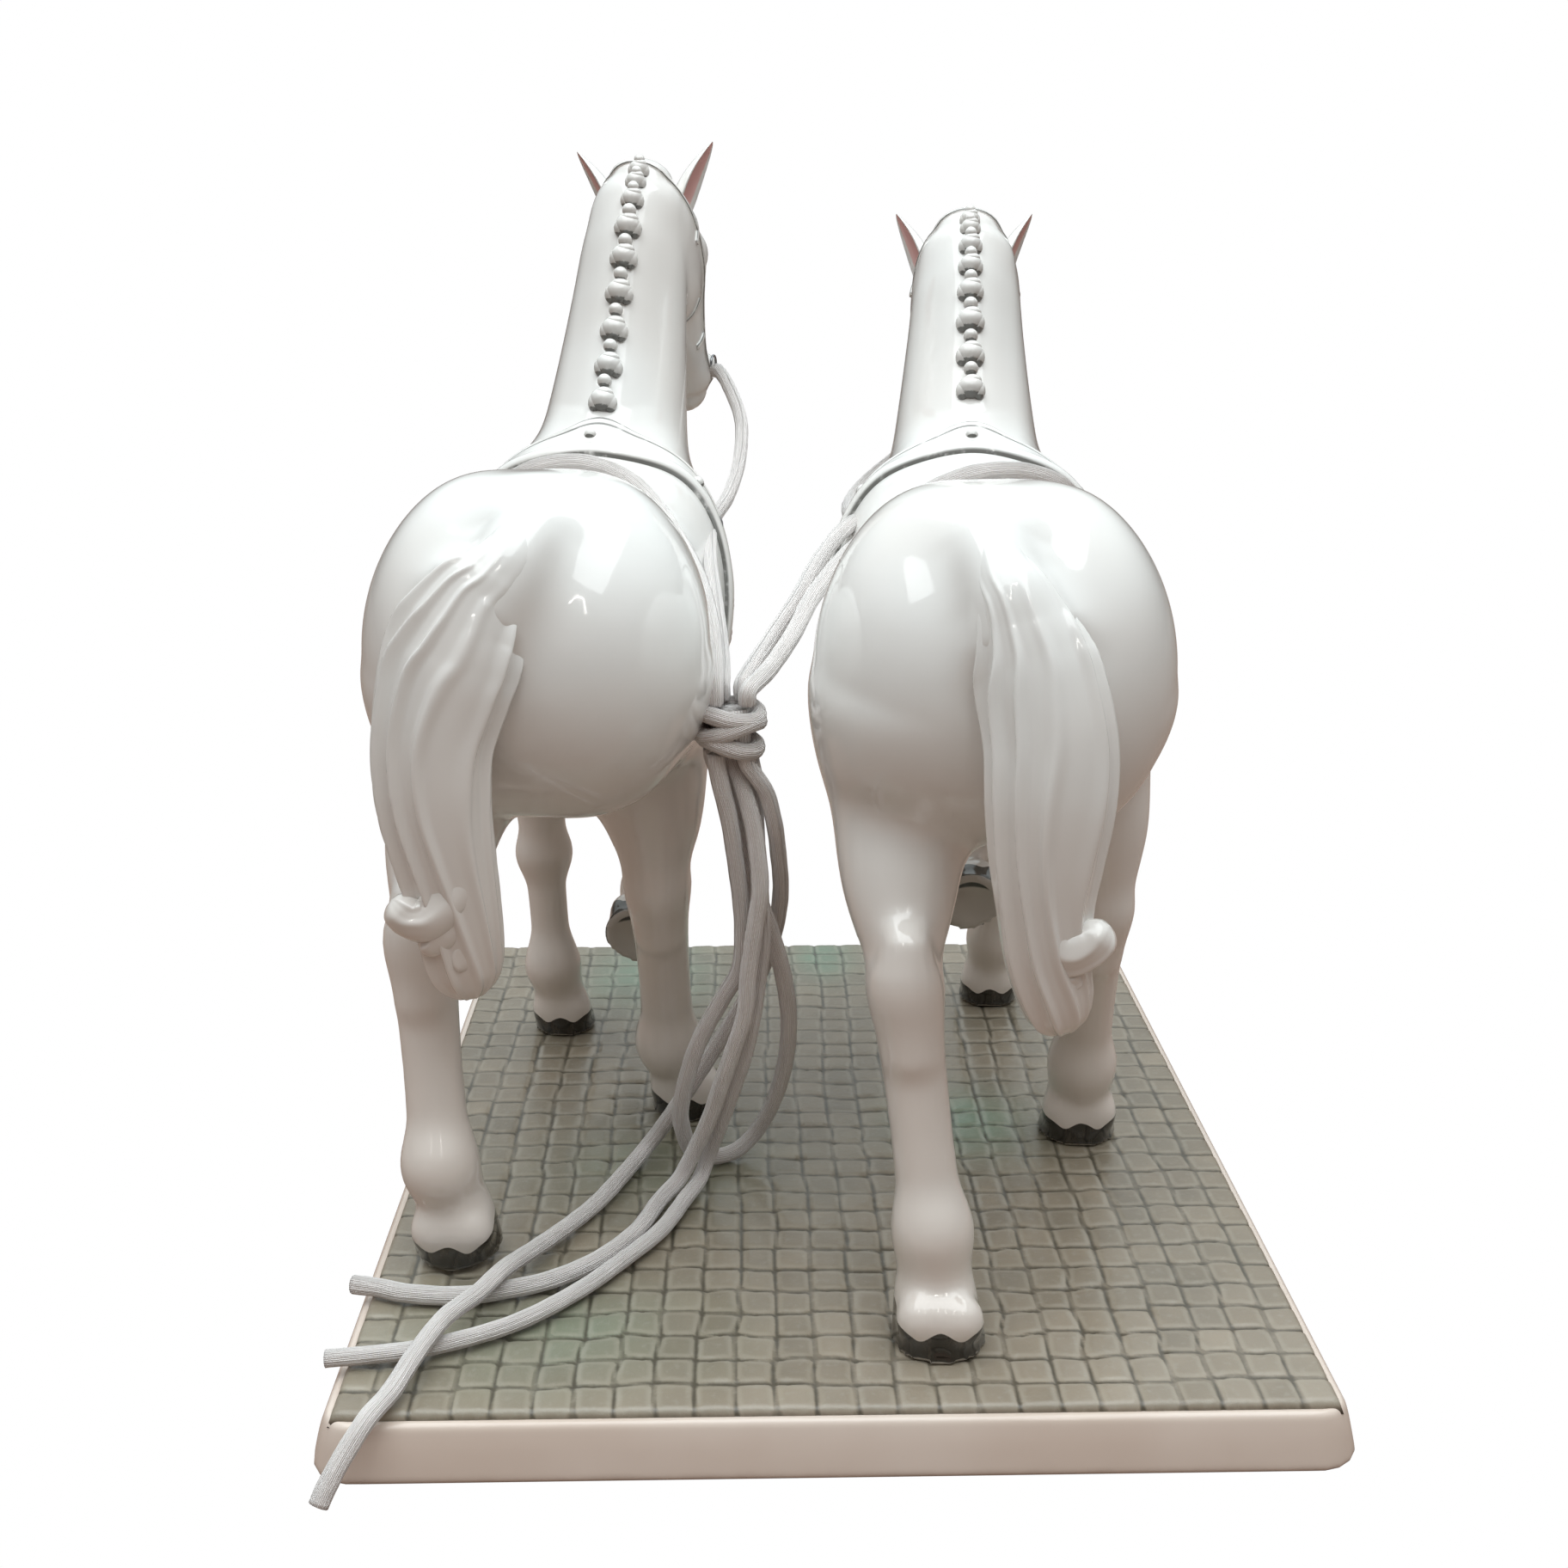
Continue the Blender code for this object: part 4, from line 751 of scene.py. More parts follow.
def horse_form(name):
    """The whole horse without its tail and ears, as one field."""
    pose = POSES[name]
    masses = [Mass(curve_through(TRUNK, 4), 4.0, caps=(RUMP_CAP, CHEST_CAP))]
    for hand in (-1, 1):
        masses.append(lump((hand * 16, 4, 176), (23, 34, 31.5), blend=18))
        masses.append(lump((hand * 16.5, -7.5, 159), (21.5, 31, 27), blend=22))
        masses.append(lump((hand * 21, 112, 166), (20, 36, 26), blend=14))
        masses.append(lump((hand * 13, 140, 146), (17, 24, 19), blend=12))
    dock = np.array(pose["tail"][:4], float) * (1, 1, 1, 0.84, 0.8)
    masses.append(Mass(np.concatenate([dock[:1] + (0, 16, -2, 6, 3), dock]), 14.0))
    share = np.array([ring[0] for ring in NECK])
    places = neck_point(pose["poll"], share)
    rings = np.column_stack([places, np.array(NECK)[:, 1:]])
    masses.append(Mass(curve_through(rings, 4), 16.0))
    crest, back, _ = crest_line(pose["poll"], np.linspace(0.25, 0.98, 9))
    ridge = np.column_stack([crest - back * 4.4, np.full(9, 4.6), np.full(9, 4.6)])
    masses.append(Mass(ridge, 10.0))
    masses += head_masses(pose)
    for leg in LEGS:
        masses += leg_masses(HIND_LEG if "hind" in leg else FORE_LEG, pose[leg])
    return Form(masses)


def foot_places(name, points):
    """For each point, its place in its foot's frame: sideways, to the heel, up from the sole."""
    pose = POSES[name]
    places = np.zeros_like(points)
    places[:, 2] = 60.0
    kind = np.zeros(len(points))
    nearest = np.full(len(points), 1e9)
    for leg in LEGS:
        sole, side, heel, up = foot_frame(pose[leg])
        size = (HIND_SOLE_WIDTH if "hind" in leg else FORE_SOLE_WIDTH) / HIND_SOLE_WIDTH
        off = points - sole
        local = np.stack([off @ side, off @ heel, off @ up], 1) / size
        away = np.linalg.norm(off, axis=1)
        near = (np.abs(local[:, :2]) < 15).all(1) & (local[:, 2] > -3) & (local[:, 2] < 25)
        chosen = near & (away < nearest)
        nearest = np.where(chosen, away, nearest)
        places = np.where(chosen[:, None], local, places)
        kind = np.where(chosen, 1.0 if pose[leg]["sole"][2] > RAISED_SOLE else 0.0, kind)
    return places, kind


# ------------------------------------------------------------------------ materials

class Value:
    """A node's output that can be reckoned with: each sign between two of them adds a Math node."""

    def __init__(self, nodes, socket):
        self.nodes, self.socket = nodes, socket

    def __add__(self, other):
        return self.nodes.math("ADD", self, other)

    def __sub__(self, other):
        return self.nodes.math("SUBTRACT", self, other)

    def __rsub__(self, other):
        return self.nodes.math("SUBTRACT", other, self)

    def __mul__(self, other):
        return self.nodes.math("MULTIPLY", self, other)

    def __truediv__(self, other):
        return self.nodes.math("DIVIDE", self, other)

    __radd__, __rmul__ = __add__, __mul__


class Nodes:
    """The node tree of a material or a world, with short ways to add to it."""

    def __init__(self, holder):
        holder.use_nodes = True
        self.holder, self.tree = holder, holder.node_tree
        self.shader = self.tree.nodes.get("Principled BSDF")

    def add(self, kind, inputs=None, **settings):
        """A node of a kind, with its settings, and its inputs by their names or numbers."""
        node = self.tree.nodes.new(kind)
        for key, value in settings.items():
            setattr(node, key, value)
        for key, value in (inputs or {}).items():
            self.put(node.inputs[key], value)
        return node

    def put(self, socket, value):
        """Set a socket to a number or colour, or link a value or another socket to it."""
        value = value.socket if isinstance(value, Value) else value
        if isinstance(value, bpy.types.NodeSocket):
            self.tree.links.new(value, socket)
        else:
            socket.default_value = value

    def shade(self, inputs):
        """Set inputs of the shader by name."""
        for key, value in inputs.items():
            self.put(self.shader.inputs[key], value)

    def math(self, operation, first, second=0.0):
        """The outcome of one Math node."""
        return Value(self, self.add("ShaderNodeMath", {0: first, 1: second}, operation=operation).outputs[0])

    def step(self, value, low, high):
        """0 below low, 1 above high, smooth between."""
        node = self.add("ShaderNodeMapRange", {"Value": value, "From Min": low, "From Max": high},
                        interpolation_type="SMOOTHSTEP")
        return Value(self, node.outputs["Result"])

    def mix(self, share, first, second):
        """A share of the way from one colour to another."""
        return self.add("ShaderNodeMix", {0: share, 6: first, 7: second}, data_type="RGBA").outputs[2]

    def coordinates(self, kind):
        """Texture coordinates of a kind, such as Object or UV."""
        return self.add("ShaderNodeTexCoord").outputs[kind]

    def noise(self, scale, detail=3.0, where=None, stretch=None, rough=0.5):
        """Noise from 0 to 1, on Object coordinates unless told where, and stretched if told how."""
        where = where or self.coordinates("Object")
        if stretch:
            where = self.add("ShaderNodeMapping", {"Scale": stretch, "Vector": where}).outputs["Vector"]
        node = self.add("ShaderNodeTexNoise",
                        {"Scale": scale, "Detail": detail, "Roughness": rough, "Vector": where})
        return Value(self, node.outputs["Fac"])

    def field(self, label, part="Fac"):
        """One of the mesh's own attributes."""
        return Value(self, self.add("ShaderNodeAttribute", attribute_name=label).outputs[part])

    def parts(self, vector):
        """The three parts of a vector."""
        return [Value(self, part) for part in self.add("ShaderNodeSeparateXYZ", {0: vector}).outputs]

    def bump(self, height, strength, distance):
        """Give the shader a bump."""
        node = self.add("ShaderNodeBump", {"Strength": strength, "Distance": distance, "Height": height})
        self.put(self.shader.inputs["Normal"], node.outputs["Normal"])


def material_nodes(name):
    """The nodes of a new material."""
    return Nodes(bpy.data.materials.new(name))


WHITE = (0.83, 0.83, 0.815, 1)
WARM_WHITE = (0.80, 0.775, 0.75, 1)
# Painted warm shade: the porcelain's tint low down, as from light bounced off the warm floor below.
PAINTED_LOW_WARM_SHADE = (0.80, 0.695, 0.62, 1)
PAINT_GREY = (0.12, 0.12, 0.11, 1)
# Painted shade: a grey that darkens the lower half of each knob and stud.
KNOB_UNDERSIDE_SHADE = (0.35, 0.34, 0.32, 1)
HOOF = (0.018, 0.014, 0.010, 1)
HOOF_LIGHT = (0.075, 0.06, 0.045, 1)
# Painted light: a paler grey copy of the hoof paint for lifted feet, as if lit from above.
LIFTED_HOOF_LIT = (0.16, 0.16, 0.15, 1)
SOLE = (0.52, 0.49, 0.45, 1)
# Painted shade: a dark crescent on the sole just inside its rim at the heel side, where the wall shades the
# hollow.
SOLE_RIM_SHADE = (0.05, 0.048, 0.042, 1)
EYE = (0.02, 0.02, 0.02, 1)
PINK = (0.80, 0.50, 0.48, 1)
DEEP_PINK = (0.70, 0.37, 0.36, 1)
# Cord colours: painted warm shade in the grooves between threads, a painted highlight on the threads' crests,
# and a paler random tone.
CORD_GROOVE_SHADE, CORD_SHINE, CORD_PALE = (0.78, 0.70, 0.675, 1), (0.97, 0.94, 0.925, 1), (0.94, 0.91, 0.89, 1)
STONE_DARK, STONE_PALE = (0.165, 0.137, 0.100, 1), (0.325, 0.265, 0.195, 1)
STONE_CLOUD, STONE_WARM = (0.215, 0.185, 0.140, 1), (0.42, 0.36, 0.29, 1)
STONE_GREEN, STONE_GRAIN = (0.16, 0.30, 0.21, 1), (0.45, 0.43, 0.38, 1)
# The first is a painted highlight along the stones' edges; the second is the joints' own dark colour.
STONE_EDGE_HIGHLIGHT, STONE_JOINT = (0.50, 0.46, 0.38, 1), (0.060, 0.052, 0.036, 1)


def glazed(nodes, colour=None):
    """White porcelain under a clear glaze, with a warm painted shade toward the feet as from the warm floor
    below, and a slow swell in the glaze.
    """
    settings = bpy.context.scene.driving_pair
    body = nodes.mix(nodes.step(nodes.noise(14.0, 2.0), 0.35, 0.7), settings.glaze, WARM_WHITE)
    up = nodes.parts(nodes.coordinates("Object"))[2]
    # Painted warm shade toward the feet, fading out by 0.20 m up.
    body = nodes.mix((1 - nodes.step(up, 0.05, 0.20)) * 0.55, body, PAINTED_LOW_WARM_SHADE)
    gloss = nodes.add("ShaderNodeMapRange", {"Value": nodes.noise(40.0), "To Min": 0.05, "To Max": 0.12})
    nodes.shade({
        "Base Color": colour(body) if colour else body, "Roughness": gloss.outputs["Result"],
        "IOR": 1.52, "Coat Weight": 0.5, "Coat Roughness": 0.03,
    })
    nodes.bump(nodes.noise(90.0, 1.0), 0.06, 0.002)
    return nodes.holder


def skin_material():
    """Porcelain with brown hooves painted up to a line that dips round two heel bulbs."""
    nodes = material_nodes("horse_porcelain")
    side, heel, up = nodes.parts(nodes.field("foot", "Vector"))
    side = nodes.math("ABSOLUTE", side)
    across = (side - 5.2) / 2.9
    lobe = nodes.math("EXPONENT", across * across * -1.0)
    dip = lobe * nodes.step(heel, 0.0, 6.0) * 2.3
    line = 10.6 + heel * -0.18 - dip
    wobble = (nodes.noise(300.0) - 0.5) * 0.5
    hoof = 1 - nodes.step(up - line + wobble, -0.18, 0.18)
    spread = nodes.math("SQRT", side * side + heel * heel)
    within = 1 - nodes.step(spread + up * 0.9, 12.2, 12.5)
    bottom = within * (1 - nodes.step(up, 3.0, 3.4))
    streak = nodes.noise(260.0, 4.0, stretch=(1, 1, 0.25), rough=0.7)
    horn = nodes.mix(nodes.step(streak, 0.45, 0.75), bpy.context.scene.driving_pair.hoof, HOOF_LIGHT)
    # Painted light: lifted hooves get a paler grey copy of the hoof paint.
    horn = nodes.mix(nodes.field("raised") * 0.5, horn, LIFTED_HOOF_LIT)
    # Painted shade: a dark crescent just inside the sole's rim at the heel side.
    rim_shade = nodes.step(heel + spread * 0.5, 9.0, 10.6) * (1 - nodes.step(spread, 8.6, 9.2))
    paint = nodes.mix(bottom, horn, nodes.mix(rim_shade, SOLE, SOLE_RIM_SHADE))
    lid = 1 - nodes.step(nodes.field("eye"), -0.25, 0.25)
    return glazed(nodes, lambda body: nodes.mix(lid, nodes.mix(hoof, body, paint), EYE))


def ear_material():
    """Porcelain ears, painted pink inside with a soft edge."""
    nodes = material_nodes("ear_porcelain")
    depth = nodes.field("inside")
    inside = nodes.step(depth + nodes.noise(200.0) * 0.1, 0.42, 0.62)
    pink = nodes.mix(nodes.step(depth, 0.5, 1.0), PINK, DEEP_PINK)
    return glazed(nodes, lambda body: nodes.mix(inside, body, pink))


def knob_material(name):
    """Porcelain knobs with a grey brush line under each, broken touches at its sides, and a painted shade
    darkening the lower half of each.
    """
    nodes = material_nodes(name)
    x, y, z = nodes.parts(nodes.field("local", "Vector"))
    broken = nodes.noise(700.0, 4.0, rough=0.7) * 0.35
    low = nodes.step(y * -1.0 + broken, 0.74, 0.86) * nodes.step(z, -0.15, 0.1)
    rim = nodes.step(nodes.math("ABSOLUTE", x) + broken, 1.1, 1.2)
    touch = nodes.math("MAXIMUM", low, rim * 0.85) * 0.95
    # Painted shade over the lower half of each knob.
    underside_shade = nodes.step(y * -1.0, -0.5, 0.7) * 0.6
    return glazed(nodes, lambda body: nodes.mix(touch, nodes.mix(underside_shade, body, KNOB_UNDERSIDE_SHADE), PAINT_GREY))


def strap_material(name, lines):
    """Porcelain straps with fine grey lines painted along them, at shares of their width."""
    nodes = material_nodes(name)
    across = nodes.parts(nodes.coordinates("UV"))[1]
    total = 0.0
    for place, width in lines:
        line = 1 - nodes.step(nodes.math("ABSOLUTE", across - place), width * 0.5, width * 1.2)
        total = nodes.math("MAXIMUM", total, line)
    worn = total * nodes.step(nodes.noise(160.0, 4.0, rough=0.6), 0.22, 0.48) * 0.92
    return glazed(nodes, lambda body: nodes.mix(worn, body, PAINT_GREY))


def wire_material():
    """Bright drawn wire, a little tarnished."""
    nodes = material_nodes("ring_wire")
    tarnish = nodes.noise(500.0, 4.0)
    colour = nodes.mix(nodes.step(tarnish, 0.4, 0.7), (0.42, 0.43, 0.45, 1), (0.12, 0.12, 0.13, 1))
    nodes.shade({"Base Color": colour, "Metallic": 1.0, "Roughness": 0.2 + tarnish * 0.25})
    return nodes.holder


def cord_material():
    """Satin braid: fine threads along the cord, off-white, with a warm painted shade in the grooves between
    threads and a painted highlight on their crests.
    """
    nodes = material_nodes("rein_satin")
    where = nodes.coordinates("UV")
    along, around, _ = nodes.parts(where)
    threads = nodes.noise(1.0, where=where, stretch=(60.0, 46.0, 1.0), rough=0.6)
    height = nodes.math("SINE", around * (2 * math.pi * 34) + along * 90.0) * 0.35 + threads
    shine = bpy.context.scene.driving_pair.cord
    # Painted shade in the thread grooves and a painted highlight on the crests, following the relief of the
    # bump.
    body = nodes.mix(nodes.step(height, 0.1, 0.8), CORD_GROOVE_SHADE, shine)
    nodes.shade({
        "Base Color": nodes.mix(nodes.noise(45.0, 2.0) * 0.25, body, CORD_PALE),
        "Roughness": 0.38 + threads * 0.2, "Sheen Weight": 0.9, "Sheen Roughness": 0.35, "Anisotropic": 0.4,
    })
    nodes.bump(height, 0.8, 0.0005)
    return nodes.holder


def cobble_material():
    """Satin-glazed stones: grey-taupe, each its own tone, green washes, dark joints, and a pale painted
    highlight just inside each stone's edge.
    """
    nodes = material_nodes("cobble_glaze")
    joint = nodes.field("joint")
    grain = nodes.noise(420.0, 5.0, rough=0.65)
    cloud = nodes.noise(60.0, 3.0)
    # Painted highlight: a pale band just inside each stone's edge.
    edge_highlight = nodes.step(joint, 0.10, 0.22) * (1 - nodes.step(joint, 0.24, 0.5))
    dark = 1 - nodes.step(joint + grain * 0.08, 0.06, 0.22)
    base = nodes.mix(nodes.field("tone"), STONE_DARK, bpy.context.scene.driving_pair.stones)
    for share, colour in (
        (nodes.step(cloud, 0.35, 0.7) * 0.5, STONE_CLOUD), (nodes.field("warm") * 0.55, STONE_WARM),
        (nodes.field("green") * 0.75, STONE_GREEN), (nodes.step(grain, 0.5, 0.75) * 0.22, STONE_GRAIN),
        (edge_highlight * 0.22, STONE_EDGE_HIGHLIGHT), (dark * 0.84, STONE_JOINT),
    ):
        base = nodes.mix(share, base, colour)
    nodes.shade({"Base Color": base, "Roughness": 0.24 + grain * 0.22, "Coat Weight": 0.3,
                 "Coat Roughness": 0.22})
    nodes.bump(grain + cloud * 1.5, 0.35, 0.0006)
    return nodes.holder


def plinth_material():
    """Smooth cream-pink glaze with soft drifts, a little darker toward its foot."""
    nodes = material_nodes("plinth_glaze")
    drift = nodes.noise(22.0)
    body = nodes.mix(nodes.step(drift, 0.3, 0.7), (0.72, 0.60, 0.52, 1), (0.78, 0.67, 0.595, 1))
    up = nodes.parts(nodes.coordinates("Object"))[2]
    # Darker toward the foot, over the lowest few millimetres of the sides.
    foot = 1 - nodes.step(up + nodes.noise(120.0) * 0.002, 0.0032, 0.0060)
    nodes.shade({
        "Base Color": nodes.mix(foot * 0.45, body, (0.33, 0.25, 0.20, 1)),
        "Roughness": 0.12 + drift * 0.12, "Coat Weight": 0.35, "Coat Roughness": 0.08,
    })
    nodes.bump(nodes.noise(70.0, 2.0), 0.08, 0.002)
    return nodes.holder


def pad_material():
    """Dark felt."""
    nodes = material_nodes("pad_felt")
    nap = nodes.noise(1500.0, 5.0, rough=0.7)
    nodes.shade({
        "Base Color": nodes.mix(nap, (0.015, 0.015, 0.014, 1), (0.05, 0.047, 0.043, 1)),
        "Roughness": 0.95, "Sheen Weight": 0.3,
    })
    nodes.bump(nap, 0.6, 0.0004)
    return nodes.holder


# Painted lines on the straps: place and width, as shares of the strap's width.
GIRTH_LINES = ((0.975, 0.045), (0.86, 0.022), (0.39, 0.030), (0.015, 0.034))
BREAST_LINES = ((0.12, 0.012), (0.24, 0.010), (0.76, 0.010), (0.88, 0.012))
BRIDLE_LINES = ((0.12, 0.07), (0.88, 0.07))
MATERIALS = {}


def material(label):
    """The named material, made once."""
    makers = {
        "skin": skin_material,
        "ear": ear_material,
        "tail": lambda: glazed(material_nodes("tail_porcelain")),
        "mane": lambda: knob_material("mane_porcelain"),
        "stud": lambda: knob_material("stud_porcelain"),
        "girth": lambda: strap_material("girth_porcelain", GIRTH_LINES),
        "breast": lambda: strap_material("breast_porcelain", BREAST_LINES),
        "bridle": lambda: strap_material("bridle_porcelain", BRIDLE_LINES),
        "wire": wire_material,
        "cord": cord_material,
        "cobbles": cobble_material,
        "plinth": plinth_material,
        "pad": pad_material,
    }
    if label not in MATERIALS:
        MATERIALS[label] = makers[label]()
    return MATERIALS[label]


# ------------------------------------------------------------------------ reins

def rein_path(points):
    """A rein's centreline in metres, a point each millimetre."""
    return evenly(curve_through(np.array(points, float) / 1000, 12), 0.001)


def cord_skin(path, diameter, sides=48, threads=12, flat=0.9, start=(0, 0, 1), closed=False):
    """A braid carried along a path.

    The ring at one place is an ellipse of the diameter by `flat` of it, with shallow threads: its
    radius is multiplied by 1 + 0.030 * cos(threads * angle + turn), where turn grows slowly along it.
    """
    _, side, rise = carried_frames(path, start)
    angle = np.linspace(0, 2 * math.pi, sides, endpoint=False)
    place = np.arange(len(path))[:, None] * np.linalg.norm(path[1] - path[0])
    ripple = 1 + 0.030 * np.cos(threads * angle + place * 60) + 0.014 * np.sin(place * 700 + 2 * angle)
    wide = diameter / 2 * np.cos(angle) * ripple
    tall = diameter / 2 * flat * np.sin(angle) * ripple
    grid = path[:, None] + side[:, None] * wide[..., None] + rise[:, None] * tall[..., None]
    uv = np.stack(np.broadcast_arrays(place, angle[None] / (2 * math.pi)), -1)
    if closed:
        return grid.reshape(-1, 3), [grid_faces(len(path), sides, wrap_rows=True)], uv.reshape(-1, 2)
    points, faces = capped(grid)
    uv = np.concatenate([uv.reshape(-1, 2), uv[0, :1], uv[-1, :1]])
    return points, faces, uv


def build_reins():
    """Eight runs of cord, each along its own route."""
    for label, runs in REINS.items():
        for run, points in runs.items():
            path = rein_path(points)
            name = "rein_" + label + "_" + run
            points, faces, uv = cord_skin(path, CORD_DIAMETER)
            item = add_mesh("satin_" + name, points, faces, material("cord"), uv, nodes=[name])
            loose = run == "lower" and label != "off_outer"


def wrap_loop(middle, wide, deep, tilt, lean, lift, wave, count=96):
    """A closed loop of path round an upright axis, tilted sideways and forward."""
    angle = np.linspace(0, 2 * math.pi, count, endpoint=False)
    x, y = wide * np.cos(angle), deep * np.sin(angle)
    z = lift + x * tilt + y * lean + wave * np.sin(2 * angle)
    return np.array(middle) + np.stack([x, y, z], 1)


def build_knot():
    """The wrapped knot where the reins meet: three slanting turns of cord round the bundle."""
    bodies, uvs = [], []
    for turn in KNOT_TURNS:
        points, faces, uv = cord_skin(wrap_loop(KNOT_PLACE, *turn), KNOT_CORD, closed=True, flat=0.95)
        bodies.append((points, faces))
        uvs.append(uv)
    heart = np.array(KNOT_PLACE) + np.stack([np.zeros(9), np.zeros(9), np.linspace(-0.0058, 0.0058, 9)], 1)
    points, faces, uv = cord_skin(heart, KNOT_HEART, start=(1, 0, 0))
    bodies.append((points, faces))
    uvs.append(uv)
    points, faces = joined(bodies)
    add_mesh("rein_knot_wraps", points, faces, material("cord"), np.concatenate(uvs),
             nodes=["rein_knot"])


# ------------------------------------------------------------------------ the base

def rounded_outline(width, length, corner, count=40):
    """Points round a rectangle with rounded corners, counter-clockwise, with `count` along a corner."""
    points = []
    for turn, (x, y) in enumerate(((1, 1), (-1, 1), (-1, -1), (1, -1))):
        angle = math.radians(90 * turn) + np.linspace(0, math.pi / 2, count)
        middle = np.array((x * (width / 2 - corner), y * (length / 2 - corner)))
        points.append(middle + np.stack([np.cos(angle), np.sin(angle)], 1) * corner)
    outline = np.concatenate(points)
    return evenly(np.concatenate([outline, outline[:1]]), 0.004)[:-1]


def build_plinth():
    """The plinth: one profile carried round a rounded rectangle, from the hollow's roof to the top rim."""
    wide, long = FOOT_SIZE
    profile = (
        (-0.011, 0.0085), (-0.0108, 0.004), (-0.0100, 0.0026), (-0.0085, 0.0020), (-0.0025, 0.0020),
        (-0.0010, 0.0023), (-0.0002, 0.0031), (-0.0001, 0.0042), (-0.0007, 0.0070), (-0.0017, 0.0110),
        (-0.0027, 0.0142), (-0.0035, 0.0160), (-0.0046, 0.0168), (-0.0060, 0.0166), (-0.0080, 0.0160),
    )
    profile = curve_through(profile, 3)
    outline = rounded_outline(wide, long, PLINTH_CORNER)
    middle = np.array((wide / 2, long / 2)) - PLINTH_CORNER
    anchor = np.clip(outline, -middle, middle)
    out = unit(outline - anchor)
    # How far in a ring still shrinks its corners. Past it the ring moves in with its corners as they are.
    deepest = PLINTH_CORNER - 0.0005
    rings = []
    for inset, height in profile:
        rounded = out * (PLINTH_CORNER + max(inset, -deepest))
        ring = anchor + rounded + np.sign(anchor) * min(inset + deepest, 0)
        rings.append(np.column_stack([ring, np.full(len(ring), height)]))
    points, faces = capped(np.array(rings))
    points[-2:, :2] = 0
    add_mesh("plinth_casting", points, faces, material("plinth"), nodes=["plinth"])


def value_noise(x, y, seed):
    """Smooth noise of two coordinates from whole-number lattice values, 0 to 1."""
    def lattice(i, j):
        value = np.sin(i * 127.1 + j * 311.7 + seed * 74.7) * 43758.5453
        return value - np.floor(value)
    i, j = np.floor(x), np.floor(y)
    u, v = x - i, y - j
    u, v = u * u * (3 - 2 * u), v * v * (3 - 2 * v)
    low = lattice(i, j) * (1 - u) + lattice(i + 1, j) * u
    high = lattice(i, j + 1) * (1 - u) + lattice(i + 1, j + 1) * u
    return low * (1 - v) + high * v


